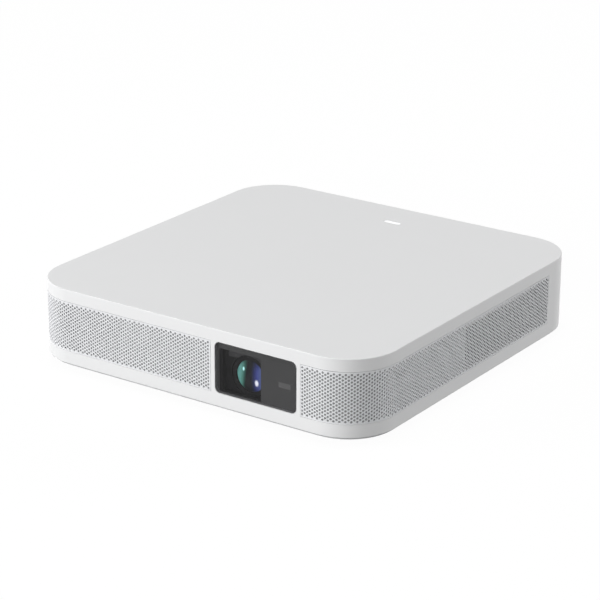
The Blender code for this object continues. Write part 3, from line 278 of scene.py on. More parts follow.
# Finishes, one for each material slot of the part
finishes = {
    "shell_white": {"colour": (0.775, 0.778, 0.782), "vary": 0.006, "patch": 30 * mm, "grain": 0.35 * mm,
                    "rough": 0.46, "spread": 0.04, "relief": 0.12, "Specular IOR Level": 0.35},
    "cover_grey": {"colour": (0.50, 0.505, 0.51), "vary": 0.02, "patch": 20 * mm, "grain": 0.5 * mm,
                   "rough": 0.58, "spread": 0.05, "relief": 0.3, "Specular IOR Level": 0.35},
    "grille_white": {"colour": (0.765, 0.772, 0.788), "vary": 0.008, "patch": 24 * mm, "grain": 0.4 * mm,
                     "rough": 0.5, "spread": 0.04, "relief": 0.1, "Specular IOR Level": 0.3},
    "window_glass": {"colour": (0.06, 0.06, 0.062), "vary": 0.03, "patch": 15 * mm, "grain": 1.2 * mm,
                     "rough": 0.12, "spread": 0.03, "relief": 0.02},
    "dark_plastic": {"colour": (0.022, 0.022, 0.023), "vary": 0.12, "patch": 6 * mm, "grain": 0.3 * mm,
                     "rough": 0.52, "spread": 0.06, "relief": 0.35, "Specular IOR Level": 0.35},
    "light_white": {"colour": (0.85, 0.86, 0.87), "vary": 0.01, "patch": 4 * mm, "grain": 0.4 * mm,
                    "rough": 0.35, "spread": 0.03, "relief": 0.03, "glow": (0.27, 0.3)},
    "foot_rubber": {"colour": (0.045, 0.045, 0.047), "vary": 0.15, "patch": 3 * mm, "grain": 0.25 * mm,
                    "rough": 0.82, "spread": 0.06, "relief": 0.6, "Specular IOR Level": 0.3},
    "brass": {"colour": (0.60, 0.41, 0.16), "vary": 0.06, "patch": 2 * mm, "grain": 0.15 * mm,
              "rough": 0.3, "spread": 0.08, "relief": 0.15, "Metallic": 1.0},
    "steel": {"colour": (0.52, 0.53, 0.54), "vary": 0.05, "patch": 3 * mm, "grain": 0.12 * mm,
              "rough": 0.32, "spread": 0.08, "relief": 0.15, "Metallic": 1.0, "stretch": (0.2, 1.0, 1.0)},
    "copper": {"colour": (0.72, 0.34, 0.19), "vary": 0.08, "patch": 5 * mm, "grain": 0.2 * mm,
               "rough": 0.34, "spread": 0.08, "relief": 0.2, "Metallic": 1.0},
    "aluminium": {"colour": (0.66, 0.665, 0.67), "vary": 0.04, "patch": 6 * mm, "grain": 0.2 * mm,
                  "rough": 0.38, "spread": 0.07, "relief": 0.2, "Metallic": 1.0, "stretch": (1.0, 1.0, 0.15)},
    "engine_black": {"colour": (0.016, 0.016, 0.017), "vary": 0.12, "patch": 5 * mm, "grain": 0.25 * mm,
                     "rough": 0.5, "spread": 0.07, "relief": 0.35, "Specular IOR Level": 0.3},
    "lens_glass": {"colour": (0.80, 0.90, 0.88), "vary": 0.04, "patch": 9 * mm, "grain": 2 * mm,
                   "rough": 0.04, "spread": 0.02, "relief": 0.0, "Transmission Weight": 0.85, "IOR": 1.5},
    "board_green": {"colour": (0.012, 0.075, 0.035), "vary": 0.25, "patch": 1.6 * mm, "grain": 0.35 * mm,
                    "rough": 0.36, "spread": 0.06, "relief": 0.3},
    "nylon": {"colour": (0.62, 0.61, 0.57), "vary": 0.03, "patch": 4 * mm, "grain": 0.3 * mm,
              "rough": 0.5, "spread": 0.05, "relief": 0.2},
    "cone_paper": {"colour": (0.03, 0.03, 0.032), "vary": 0.2, "patch": 1.2 * mm, "grain": 0.2 * mm,
                   "rough": 0.85, "spread": 0.06, "relief": 0.7, "Specular IOR Level": 0.2},
}
finish = {name: makeFinish(name, values) for name, values in finishes.items()}
slotOf = {name: node.data.materials[0].name.split(".")[0] for name, node in nodes.items()}
for name, node in nodes.items():
    node.data.materials[0] = finish[slotOf[name]]
print("projector: finishes made")


# Upper shell: the outer rims and the edges of the grille pockets are rounded
shellValues = {"rim": 0.32 * mm, "pocket": 0.07 * mm, "segments": 3, "near": 0.06 * mm, "sharpTurn": 40}


# How far a point is from the outer wall, seen from above
def outerDistance(point, high, radius):
    x = abs(point.x) - (high.x - radius)
    y = abs(point.y) - (high.y - radius)
    if x > 0 and y > 0:
        return abs(math.hypot(x, y) - radius)
    return min(abs(x - radius), abs(y - radius))


def makeShell(values):
    mesh = cleanCopy("upper_shell")
    low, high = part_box("upper_shell")
    form = bmesh.new()
    form.from_mesh(mesh)
    weight = form.edges.layers.float.new("bevel_weight_edge")
    for edge in form.edges:
        if len(edge.link_faces) != 2 or edge.calc_face_angle(0) < math.radians(values["sharpTurn"]):
            continue
        ends = [vert.co for vert in edge.verts]
        if any(outerDistance(end, high, commonValues["cornerRadius"]) > values["near"] for end in ends):
            continue
        atTop = all(abs(end.z - high.z) < values["near"] for end in ends)
        atFoot = all(abs(end.z - low.z) < values["near"] for end in ends)
        size = values["rim"] if atTop or atFoot else values["pocket"]
        edge[weight] = size / values["rim"]
    form.to_mesh(mesh)
    form.free()
    smoothMesh(mesh)
    shell = addPiece("shell_skin", mesh, finish["shell_white"])
    addBevel(shell, values["rim"], values["segments"], "WEIGHT")
    normals = shell.modifiers.new("normals", "WEIGHTED_NORMAL")
    normals.keep_sharp = True
    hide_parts("upper_shell")


makeShell(shellValues)
print("projector: shell made")


# Grilles: one perforated sheet each, laid out flat and then wrapped round the front corner
grilleValues = {
    "Column pitch": 1.375 * mm, "Row pitch": 1.778 * mm, "Rows": 14, "Hole radius": 0.62 * mm,
    "Hole sides": 8, "Thickness": 0.5 * mm, "Vent share": 0.4, "Corner radius": commonValues["cornerRadius"],
    "Merge gap": 0.01 * mm, "Finish": finish["grille_white"], "reach": 0.15 * mm, "endRoom": 0.2 * mm,
    "smoothTurn": 50, "ventFront": -12 * mm, "paintedShadeStart": 58 * mm,   # places along y
    "clothFront": 0.56 * mm, "clothBack": 0.76 * mm, "bendSteps": 16,
    # pale cloth colour, and a near-black colour of painted shade for the sheet behind the vent's rear end
    "cloth": (0.3, 0.3, 0.305), "painted_shade_cloth": (0.05, 0.05, 0.052), "clothVary": 0.05,
}


def makeGrilleTree():
    tree = bpy.data.node_groups.new("perforated_sheet", "GeometryNodeTree")
    for name in ("Column pitch", "Row pitch", "Hole radius", "Height", "Thickness", "End margin", "Merge gap",
                 "Corner radius", "Front run", "Front end", "Front face", "Mid height", "Side", "Vent start",
                 "Vent share"):
        tree.interface.new_socket(name, in_out="INPUT", socket_type="NodeSocketFloat")
    for name in ("Columns", "Rows", "Hole sides"):
        tree.interface.new_socket(name, in_out="INPUT", socket_type="NodeSocketInt")
    tree.interface.new_socket("Finish", in_out="INPUT", socket_type="NodeSocketMaterial")
    tree.interface.new_socket("Geometry", in_out="OUTPUT", socket_type="NodeSocketGeometry")
    size = tree.nodes.new("NodeGroupInput").outputs

    def calc(operation, *values):
        return mathNode(tree, operation, *values)

    def add(kind, **links):
        node = tree.nodes.new(kind)
        for name, value in links.items():
            socket = node.inputs[name.replace("_", " ")]
            if isinstance(value, bpy.types.NodeSocket):
                tree.links.new(value, socket)
            else:
                socket.default_value = value
        return node

    def place(geometry, x, y, z, selection=None):
        vector = add("ShaderNodeCombineXYZ", X=x, Y=y, Z=z).outputs[0]
        node = add("GeometryNodeSetPosition", Geometry=geometry, Position=vector)
        if selection:
            tree.links.new(selection, node.inputs["Selection"])
        return node.outputs[0]

    def cut(geometry, selection, domain):
        node = add("GeometryNodeDeleteGeometry", Geometry=geometry, Selection=selection)
        node.domain = domain
        return node.outputs[0]

    spot = tree.nodes.new("GeometryNodeInputPosition").outputs[0]
    split = add("ShaderNodeSeparateXYZ", Vector=spot)
    x, y, z = split.outputs
    halfColumn = calc("MULTIPLY", size["Column pitch"], 0.5)
    halfRow = calc("MULTIPLY", size["Row pitch"], 0.5)
    halfWide = calc("MULTIPLY", size["Columns"], halfColumn)
    halfTall = calc("MULTIPLY", size["Rows"], halfRow)
    column = calc("FLOOR", calc("DIVIDE", calc("ADD", x, halfWide), size["Column pitch"]))
    shift = calc("MULTIPLY", calc("FLOORED_MODULO", column, 2), halfRow)   # every other column half a row up

    # Blank sheet with its hole cells taken out
    sheet = add("GeometryNodeMeshGrid",
                Size_X=calc("MULTIPLY", calc("ADD", size["Columns"], 1), size["Column pitch"]),
                Size_Y=calc("MULTIPLY", calc("ADD", size["Rows"], 1), size["Row pitch"]),
                Vertices_X=calc("MULTIPLY_ADD", size["Columns"], 2, 3),
                Vertices_Y=calc("MULTIPLY_ADD", size["Rows"], 2, 3)).outputs[0]
    edgeWide = calc("ADD", halfWide, size["End margin"])
    edgeTall = calc("MULTIPLY", size["Height"], 0.5)
    sheet = place(sheet, calc("MAXIMUM", calc("MINIMUM", x, edgeWide), calc("MULTIPLY", edgeWide, -1)),
                  calc("MAXIMUM", calc("MINIMUM", y, edgeTall), calc("MULTIPLY", edgeTall, -1)), z)
    inside = calc("MULTIPLY", calc("LESS_THAN", calc("ABSOLUTE", x), halfWide),
                  calc("LESS_THAN", calc("ABSOLUTE", y), calc("SUBTRACT", halfTall, shift)))
    sheet = cut(sheet, inside, "FACE")

    # One hole tile: a ring whose outer points lie on the cell's border
    ring = add("GeometryNodeMeshCircle", Vertices=size["Hole sides"], Radius=size["Hole radius"])
    tile = add("GeometryNodeExtrudeMesh", Mesh=ring.outputs[0], Offset_Scale=0.0)
    tile.mode = "EDGES"

    def toBorder(part, half):
        share = calc("DIVIDE", calc("MULTIPLY", part, 2), size["Hole radius"])
        return calc("MULTIPLY", calc("MAXIMUM", calc("MINIMUM", share, 1), -1), half)

    tile = place(tile.outputs["Mesh"], toBorder(x, halfColumn), toBorder(y, halfRow), z, tile.outputs["Top"])

    spots = add("GeometryNodeMeshGrid",
                Size_X=calc("MULTIPLY", calc("SUBTRACT", size["Columns"], 1), size["Column pitch"]),
                Size_Y=calc("MULTIPLY", calc("SUBTRACT", size["Rows"], 1), size["Row pitch"]),
                Vertices_X=size["Columns"], Vertices_Y=size["Rows"]).outputs[0]
    spots = place(spots, x, calc("ADD", y, shift), z)
    # A raised column loses its top hole, whose centre is on the edge of the pattern
    over = calc("GREATER_THAN", y, calc("MULTIPLY_ADD", halfRow, -0.5, halfTall))
    spots = cut(spots, over, "POINT")
    tiles = add("GeometryNodeInstanceOnPoints", Points=spots, Instance=tile).outputs[0]
    tiles = add("GeometryNodeRealizeInstances", Geometry=tiles).outputs[0]

    def join(*parts):
        node = tree.nodes.new("GeometryNodeJoinGeometry")
        for part in parts:
            tree.links.new(part, node.inputs[0])
        merge = add("GeometryNodeMergeByDistance", Geometry=node.outputs[0], Distance=size["Merge gap"])
        return merge.outputs[0]

    # Thickness while it is flat, then the wrap: x runs along the band, y up and z into the housing
    flat = join(sheet, tiles)
    thick = add("GeometryNodeExtrudeMesh", Mesh=flat, Offset=(0, 0, 1), Offset_Scale=size["Thickness"],
                Individual=False)
    solid = join(flat, thick.outputs["Mesh"])
    along = calc("ADD", x, edgeWide)
    beyond = calc("SUBTRACT", along, size["Front run"])
    turn = calc("MAXIMUM", calc("MINIMUM", calc("DIVIDE", beyond, size["Corner radius"]), math.pi / 2), 0)
    venting = calc("GREATER_THAN", along, size["Vent start"])   # the sheet is thinner where air passes
    thinner = calc("MULTIPLY", venting, calc("SUBTRACT", 1, size["Vent share"]))
    depth = calc("MULTIPLY", z, calc("SUBTRACT", 1, thinner))
    bend = calc("SUBTRACT", size["Corner radius"], depth)
    across = calc("MULTIPLY_ADD", bend, calc("SINE", turn), calc("MINIMUM", along, size["Front run"]))
    past = calc("MAXIMUM", calc("SUBTRACT", beyond, calc("MULTIPLY", size["Corner radius"], math.pi / 2)), 0)
    straight = calc("ADD", size["Corner radius"], past)
    back = calc("SUBTRACT", straight, calc("MULTIPLY", bend, calc("COSINE", turn)))
    wrapped = place(solid, calc("MULTIPLY_ADD", across, size["Side"], size["Front end"]),
                    calc("ADD", back, size["Front face"]), calc("ADD", y, size["Mid height"]))
    done = add("GeometryNodeSetMaterial", Geometry=wrapped, Material=size["Finish"]).outputs[0]
    tree.links.new(done, tree.nodes.new("NodeGroupOutput").inputs[0])
    return tree


def bakeTree(name, tree, values):
    maker = bpy.data.objects.new(name + "_maker", bpy.data.meshes.new(name + "_maker"))
    bpy.context.scene.collection.objects.link(maker)
    modifier = maker.modifiers.new("make", "NODES")
    modifier.node_group = tree
    for item in tree.interface.items_tree:
        if item.in_out == "INPUT":
            modifier[item.identifier] = values[item.name]
    bpy.context.view_layer.update()
    evaluated = maker.evaluated_get(bpy.context.evaluated_depsgraph_get())
    mesh = bpy.data.meshes.new_from_object(evaluated)
    mesh.name = name
    bpy.data.objects.remove(maker)
    form = bmesh.new()
    form.from_mesh(mesh)
    bmesh.ops.recalc_face_normals(form, faces=form.faces)
    form.to_mesh(mesh)
    form.free()
    return mesh


# Cloth behind a sheet: pale from the front end to the vent, and a near-black sheet of painted shade over the
# vent's rear end
def makeCloths(node, sign, frontEnd, frontRun, values):
    low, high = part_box(node)
    radius, steps = values["Corner radius"], values["bendSteps"]
    front, back, straight = values["clothFront"], values["clothBack"], low.y + radius
    bends = [(frontRun, math.pi / 2 * step / steps, 0) for step in range(steps + 1)]
    strips = {"cloth": [(0, 0, 0), *bends, (frontRun, math.pi / 2, values["ventFront"] - straight)],
              "painted_shade_cloth": [(frontRun, math.pi / 2, y - straight) for y in (values["paintedShadeStart"], high.y)]}
    for look, path in strips.items():
        rings = []
        for across, turn, past in path:
            ring = []
            for depth, z in ((front, low.z), (front, high.z), (back, high.z), (back, low.z)):
                x = frontEnd + sign * (across + (radius - depth) * math.sin(turn))
                ring.append((x, straight + past - (radius - depth) * math.cos(turn), z))
            rings.append(ring)
        cloth = sweepMesh(node + "_" + look, rings)
        smoothMesh(cloth)
        addPiece(node + "_" + look, cloth, finish[look])


def makeGrille(side, tree, values):
    node = side + "_grille"
    low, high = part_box(node)
    radius, pitch, reach = values["Corner radius"], values["Column pitch"], values["reach"]
    sign = -1 if side == "left" else 1
    frontEnd = high.x + reach if sign < 0 else low.x - reach
    outerX = low.x if sign < 0 else high.x
    frontRun = abs(outerX - frontEnd) - radius
    bendEnd, straight = frontRun + radius * math.pi / 2, low.y + radius
    length = bendEnd + high.y + reach - straight
    columns = int((length - 2 * values["endRoom"]) / pitch)
    mesh = bakeTree(node + "_sheet", tree, {
        **values, "Height": high.z - low.z + 2 * reach, "End margin": (length - columns * pitch) / 2,
        "Columns": columns, "Front run": frontRun, "Front end": frontEnd, "Front face": low.y,
        "Mid height": (low.z + high.z) / 2, "Side": float(sign),
        "Vent start": bendEnd + values["ventFront"] - straight})
    smoothMesh(mesh, values["smoothTurn"])
    grille = addPiece(node + "_sheet", mesh, None)
    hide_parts(node)
    makeCloths(node, sign, frontEnd, frontRun, values)
    print("projector:", node, columns, "columns,", len(mesh.polygons), "faces")


for look in ("cloth", "painted_shade_cloth"):
    finish[look] = makeFinish(look, {**finishes["cone_paper"], "colour": grilleValues[look],
                                     "vary": grilleValues["clothVary"]})
grilleTree = makeGrilleTree()
for side in ("left", "right"):
    makeGrille(side, grilleTree, grilleValues)
print("projector: grilles made")


# Window: a clear pane with dark edges, and a printed dark border behind it with a lighter sensor patch
windowValues = {
    "radius": 2.5 * mm, "printFront": 0.05 * mm, "printThickness": 0.1 * mm, "printInset": 0.1 * mm,
    "clearLow": (18.0 * mm, 11.7 * mm), "clearHigh": (41.9 * mm, 33.3 * mm), "clearRadius": 0.4 * mm,
    "clear": (0.90, 0.90, 0.905), "clearFaint": (0.891, 0.891, 0.896), "haze": 14 * mm,
    "dust": (0.011, 0.015), "blend": 0.15, "shine": (0.001, 0.5), "shineFrom": 0.015, "rough": (0.03, 0.05),
    "edgeShade": (0.24, 0.24, 0.245), "print": (0.079, 0.079, 0.079), "printFaint": (0.0743, 0.0743, 0.0743),
    "printCloud": 12 * mm, "printRough": (0.42, 0.5), "printShine": 0.1,
    "sensorLow": (51.6 * mm, 21.3 * mm), "sensorHigh": (58.9 * mm, 24.6 * mm), "sensorSoft": 0.6 * mm,
    "sensor": (0.138, 0.137, 0.137),
}


def makePaneFinish(values):
    material, tree, place, shader = newFinish("window_pane")
    tree.nodes.remove(shader)
    clear = tree.nodes.new("ShaderNodeBsdfTransparent")
    gloss = tree.nodes.new("ShaderNodeBsdfGlossy")
    mix = tree.nodes.new("ShaderNodeMixShader")
    weight = tree.nodes.new("ShaderNodeLayerWeight")
    weight.inputs["Blend"].default_value = values["blend"]
    haze = noiseNode(tree, place, values["haze"])
    tree.links.new(mixNode(tree, haze, values["clearFaint"], values["clear"]), clear.inputs["Color"])
    tree.links.new(rangeNode(tree, haze, *values["rough"]), gloss.inputs["Roughness"])
    # A faint film of dust, and reflections only at a low angle, as on coated glass
    film = tree.nodes.new("ShaderNodeMixShader")
    tree.links.new(rangeNode(tree, haze, *values["dust"]), film.inputs[0])
    tree.links.new(clear.outputs[0], film.inputs[1])
    tree.links.new(tree.nodes.new("ShaderNodeBsdfDiffuse").outputs[0], film.inputs[2])
    shine = rangeNode(tree, weight.outputs["Fresnel"], *values["shine"], values["shineFrom"], 1.0)
    tree.links.new(shine, mix.inputs[0])
    tree.links.new(film.outputs[0], mix.inputs[1])
    tree.links.new(gloss.outputs[0], mix.inputs[2])
    tree.links.new(mix.outputs[0], tree.nodes["Material Output"].inputs["Surface"])
    return material


# A soft-edged box in the object's x and z, as a factor from 0 to 1
def patchFactor(tree, place, low, high, soft):
    split = tree.nodes.new("ShaderNodeSeparateXYZ")
    tree.links.new(place, split.inputs[0])
    inside = None
    for socket, first, last in ((split.outputs["X"], low[0], high[0]), (split.outputs["Z"], low[1], high[1])):
        offset = mathNode(tree, "ABSOLUTE", mathNode(tree, "SUBTRACT", socket, (first + last) / 2))
        half = (last - first) / 2
        part = rangeNode(tree, offset, 1, 0, half - soft, half, True)
        inside = mathNode(tree, "MULTIPLY", inside, part) if inside else part
    return inside


def makePrintFinish(values):
    material, tree, place, shader = newFinish("window_print")
    inside = patchFactor(tree, place, values["sensorLow"], values["sensorHigh"], values["sensorSoft"])
    cloud = noiseNode(tree, place, values["printCloud"])
    ground = mixNode(tree, cloud, values["printFaint"], values["print"])
    tree.links.new(mixNode(tree, inside, ground, values["sensor"]), shader.inputs["Base Color"])
    tree.links.new(rangeNode(tree, cloud, *values["printRough"]), shader.inputs["Roughness"])
    shader.inputs["Specular IOR Level"].default_value = values["printShine"]
    return material


def makeWindow(values):
    low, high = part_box("lens_window")
    mesh = cleanCopy("lens_window")
    edgeFinish = makeFinish("window_edge", {**finishes["window_glass"], "colour": values["edgeShade"]})
    pane = addPiece("window_pane", mesh, makePaneFinish(values))
    mesh.materials.append(edgeFinish)
    for face in mesh.polygons:
        face.material_index = 0 if abs(face.normal.y) > 0.5 else 1
    smoothMesh(mesh)
    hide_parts("lens_window")
    inset = values["printInset"]
    outline = roundedRing(low.x + inset, high.x - inset, low.z + inset, high.z - inset, values["radius"])
    (left, foot), (right, top) = values["clearLow"], values["clearHigh"]
    hole = roundedRing(left, right, foot, top, values["clearRadius"])
    front = high.y + values["printFront"]
    back = front + values["printThickness"]
    rings = [[(x, y, z) for x, z in ring]
             for ring, y in ((outline, front), (hole, front), (hole, back), (outline, back))]
    plate = sweepMesh("window_print", rings, True)
    addPiece("window_print", plate, makePrintFinish(values))


makeWindow(windowValues)
print("projector: window made")


# Projection lens: dark coated glass with painted reflections, teal at the left and violet blue at the right
lensValues = {
    "axis": (33.5 * mm, 21.5 * mm), "capDepth": 2.6 * mm, "forward": 1.4 * mm, "flatter": 0.45,
    "narrower": 0.952, "flatTurn": 0.05, "smoothTurn": 25, "rough": (0.08, 0.12), "shine": 0.12,
    "cloud": 6 * mm, "waver": 0.15 * mm,
    "lean": 0.12, "leanEnds": (31.5 * mm, 33.5 * mm),   # the painted teal reflection leans at its top, the painted violet one stands upright
    "topFade": (3 * mm, 7.5 * mm, 0.35), "footFade": (4 * mm, 8 * mm, 0.5),   # painted reflections darker towards the top and the foot: from, to and the share left
    "dark": (0.006, 0.008, 0.012), "start": 24.0, "end": 42.0,   # of the painted reflections, across the lens in mm
    "coating": (   # a place across the lens and the painted reflection colour there
        (24.0, (0.19, 0.51, 0.49)), (27.9, (0.15, 0.44, 0.38)), (29.3, (0.08, 0.26, 0.21)),
        (30.4, (0.02, 0.09, 0.07)), (31.2, (0.006, 0.008, 0.010)), (34.0, (0.006, 0.007, 0.012)),
        (35.0, (0.012, 0.018, 0.06)), (36.2, (0.035, 0.045, 0.19)), (37.6, (0.075, 0.10, 0.38)),
        (38.8, (0.11, 0.15, 0.40)), (42.0, (0.08, 0.10, 0.20)),
    ),
    "glints": (   # painted highlights that glow: centre, radius and colour
        ((29.7 * mm, 24.5 * mm), 0.8 * mm, (0.55, 1.0, 1.0)),
        ((37.2 * mm, 18.8 * mm), 1.3 * mm, (0.9, 0.92, 1.0)),
    ),
    # Shape, soft edge and glow strength of the painted highlights
    "glintStretch": 0.6, "glintSoft": 0.4, "glintGlow": 0.4,
}


# The painted reflection colour at a place across the lens
def paintedReflectionColour(tree, across, values):
    start, end = values["start"], values["end"]
    ramp = tree.nodes.new("ShaderNodeValToRGB")
    stops = ramp.color_ramp.elements
    stops.remove(stops[1])
    for i, (place, colour) in enumerate(values["coating"]):
        stop = stops.new((place - start) / (end - start)) if i else stops[0]
        stop.color = (*colour, 1)
    tree.links.new(rangeNode(tree, across, 0, 1, start * mm, end * mm), ramp.inputs[0])
    return ramp.outputs[0]


# A painted highlight: a soft bright point, as a factor from 0 to 1
def glintFactor(tree, x, z, centre, radius, values):
    across = mathNode(tree, "SUBTRACT", x, centre[0])
    up = mathNode(tree, "MULTIPLY", mathNode(tree, "SUBTRACT", z, centre[1]), values["glintStretch"])
    distance = mathNode(tree, "SQRT", mathNode(tree, "ADD", mathNode(tree, "MULTIPLY", across, across),
                                               mathNode(tree, "MULTIPLY", up, up)))
    return rangeNode(tree, distance, 1, 0, radius * values["glintSoft"], radius, True)


def makeLensFinish(values):
    material, tree, place, shader = newFinish("lens_painted_reflections")
    split = tree.nodes.new("ShaderNodeSeparateXYZ")
    tree.links.new(place, split.inputs[0])
    x, z = split.outputs["X"], split.outputs["Z"]
    cloud = noiseNode(tree, place, values["cloud"])
    height = values["axis"][1]
    lean = rangeNode(tree, x, -values["lean"], 0, *values["leanEnds"])
    shift = mathNode(tree, "MULTIPLY_ADD", mathNode(tree, "SUBTRACT", z, height), lean,
                     rangeNode(tree, cloud, -values["waver"], values["waver"]))
    (topFrom, topTo, topLeft), (footFrom, footTo, footLeft) = values["topFade"], values["footFade"]
    # Painted shade: the painted reflections grow darker towards the top and the foot
    fade = mathNode(tree, "MINIMUM", rangeNode(tree, z, 1, topLeft, height + topFrom, height + topTo, True),
                    rangeNode(tree, z, footLeft, 1, height - footTo, height - footFrom, True))
    colour = paintedReflectionColour(tree, mathNode(tree, "ADD", x, shift), values)
    colour, glow = mixNode(tree, fade, values["dark"], colour), None
    # Painted highlights mixed into the colour and made to glow by emission
    for centre, radius, tint in values["glints"]:
        spot = glintFactor(tree, x, z, centre, radius, values)
        colour = mixNode(tree, spot, colour, tint)
        glow = mathNode(tree, "ADD", glow, spot) if glow else spot
    tree.links.new(colour, shader.inputs["Base Color"])
    tree.links.new(colour, shader.inputs["Emission Color"])
    tree.links.new(rangeNode(tree, glow, 0, values["glintGlow"], 0, 1), shader.inputs["Emission Strength"])
    tree.links.new(rangeNode(tree, cloud, *values["rough"]), shader.inputs["Roughness"])
    shader.inputs["Specular IOR Level"].default_value = values["shine"]
    return material


# The front cap of the glass is drawn forward and flattened, so that it shows through the window
def makeLens(values):
    mesh = cleanCopy("front_lens", values["flatTurn"])
    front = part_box("front_lens")[0].y
    across, up = values["axis"]
    for vert in mesh.vertices:
        if vert.co.y < front + values["capDepth"]:
            vert.co.y = front - values["forward"] + (vert.co.y - front) * values["flatter"]
            vert.co.x = across + (vert.co.x - across) * values["narrower"]
            vert.co.z = up + (vert.co.z - up) * values["narrower"]
    smoothMesh(mesh, values["smoothTurn"])
    lens = addPiece("lens_front_glass", mesh, makeLensFinish(values), "lens_group")
    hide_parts("front_lens")


makeLens(lensValues)
print("projector: lens made")


# Dark parts round the lens: matt black, with painted light making the upper part of the bezel a little
# lighter
bezelValues = {
    "colour": (0.007, 0.007, 0.0075), "faint": (0.0065, 0.0065, 0.007), "pale": (0.05, 0.05, 0.051),
    "low": (21.2 * mm, 28.9 * mm), "high": (62 * mm, 44 * mm), "soft": 0.9 * mm,   # the part made lighter by painted light
    "grain": 2.5 * mm, "rough": (0.65, 0.75), "shine": 0.08,
}


def makeBezelFinish(values):
    material, tree, place, shader = newFinish("bezel_black")
    inside = patchFactor(tree, place, values["low"], values["high"], values["soft"])
    grain = noiseNode(tree, place, values["grain"], commonValues["grainDetail"])
    ground = mixNode(tree, grain, values["faint"], values["colour"])
    # Painted light: the upper part of the bezel is mixed towards a paler grey
    tree.links.new(mixNode(tree, inside, ground, values["pale"]), shader.inputs["Base Color"])
    tree.links.new(rangeNode(tree, grain, *values["rough"]), shader.inputs["Roughness"])
    shader.inputs["Specular IOR Level"].default_value = values["shine"]
    return material


lensBlack = makeFinish("lens_black", {
    **finishes["engine_black"], "colour": (0.008, 0.008, 0.0085), "rough": 0.62, "relief": 0.1,
    "Specular IOR Level": 0.12})
darkFins = makeFinish("dark_fins", {**finishes["aluminium"], "colour": (0.09, 0.09, 0.092), "rough": 0.5})
special = {"window_bezel": makeBezelFinish(bezelValues), "lens_cell": lensBlack, "lens_barrel": lensBlack,
           "fin_stack": darkFins, "side_heat_pipe": darkFins, "rear_heat_pipe": darkFins}


# Every other node: the same form with its edges slightly rounded, widths in mm
edgeValues = {
    "other": 0.08, "smoothTurn": 32,
    "foot_front_left": 0.42, "foot_front_right": 0.42, "foot_rear_left": 0.42, "foot_rear_right": 0.42,
    "rear_port_panel": 0.15, "power_button": 0.16, "window_bezel": 0.13, "tripod_insert": 0.15,
    "engine_housing": 0.3, "engine_lid": 0.3, "blower_housing": 0.25, "blower_lid": 0.2,
    "lens_barrel": 0.12, "lens_cell": 0.1,
}
remade = ("upper_shell", "left_grille", "right_grille", "lens_window", "front_lens")
for name in sorted(set(nodes) - set(remade)):
    mesh = cleanCopy(name)
    smoothMesh(mesh, edgeValues["smoothTurn"])
    material = special.get(name, finish[slotOf[name]])
    piece = addPiece(name + "_form", mesh, material, nodes[name]["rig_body"])
    addBevel(piece, edgeValues.get(name, edgeValues["other"]) * mm)
    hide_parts(name)
print("projector: inner and outer parts dressed")


# Dark tongues with gilt contacts in the ports, sizes in mm
tongueValues = {
    "tongues": {"data_port": (10.8, 18.3, 20.1), "video_port": (11.4, 17.5, 18.5)},   # width, low and high
    "start": 88.0, "end": 98.0, "skin": 0.12, "edge": 0.08,
    "contactStart": 89.0, "contact": 0.08, "contactEdge": 0.03, "hook": (0.12, 0.6),
    "dataContacts": ((-3.5, 1.0), (-1.0, 1.0), (1.0, 1.0), (3.5, 1.0)),   # centre and width
    "videoRows": (10, 9), "videoPitch": 1.0, "videoWidth": 0.5,
}


# The middle of a node's box in x and z, in mm
def middleOf(name):
    low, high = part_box(name)
    return (low.x + high.x) / 2 / mm, (low.z + high.z) / 2 / mm


def makeTongues(values):
    tongues, contacts = [], []
    skin, strip, end = values["skin"], values["contact"], values["end"] + values["skin"]
    start, (hookLow, hookHigh) = values["contactStart"], values["hook"]
    for name, (width, bottom, top) in values["tongues"].items():
        middle = middleOf(name)[0]
        bottom, top, reach = bottom - skin, top + skin, width / 2 + skin
        tongues.append(((middle - reach, values["start"], bottom), (middle + reach, end, top)))
        if name == "data_port":
            for x, wide in values["dataContacts"]:
                left, right, tip = middle + x - wide / 2, middle + x + wide / 2, end + strip
                contacts.append(((left, start, bottom - strip), (right, tip, bottom + strip)))
                contacts.append(((left, end - strip, bottom + hookLow), (right, tip, bottom + hookHigh)))
        else:
            half = values["videoWidth"] / 2
            for count, z in zip(values["videoRows"], (top, bottom)):
                for i in range(count):
                    x = middle + (i - (count - 1) / 2) * values["videoPitch"]
                    contacts.append(((x - half, start, z - strip), (x + half, end + strip, z + strip)))
    for name, boxes, slot, edge in (("port_tongues", tongues, "dark_plastic", values["edge"]),
                                    ("port_contacts", contacts, "brass", values["contactEdge"])):
        piece = addPiece(name, boxesMesh(name, boxes), finish[slot])
        addBevel(piece, edge * mm)


# A metal pin and sleeve in the power jack and a metal collar in the sound jack, sizes in mm
liningValues = {
    "linings": {   # radius and place along y
        "pin": ((0, 90.4), (1.06, 90.4), (1.06, 98.2), (0.95, 98.6), (0.6, 98.85), (0, 98.9)),
        "sleeve": ((2.74, 91), (2.74, 98.3), (2.6, 98.5), (2.5, 98.3), (2.5, 91)),
        "collar": ((1.5, 95), (2.4, 95), (2.4, 99.35), (2.25, 99.5), (1.75, 99.5), (1.6, 99.35)),
    },
    "jacks": {"pin": "dc_jack", "sleeve": "dc_jack", "collar": "audio_jack"}, "smoothTurn": 40,
}


def makeLinings(values):
    bodies = []
    for lining, profile in values["linings"].items():
        x, z = middleOf(values["jacks"][lining])
        bodies.append(((x, 0, z), "y", profile))
    mesh = turnedMesh("jack_linings", bodies)
    smoothMesh(mesh, values["smoothTurn"])
    addPiece("jack_linings", mesh, finish["steel"])


# A plain mark on the button: an open ring and a bar, sizes in mm
markValues = {
    "sunk": 0.03, "depth": 0.07, "radius": 2.1, "line": 0.4, "bar": (0.3, 2.5), "steps": 32,
    "gap": 38,   # half of the ring's opening, in degrees
    "colour": (0.42, 0.42, 0.425), "vary": 0.04,
}


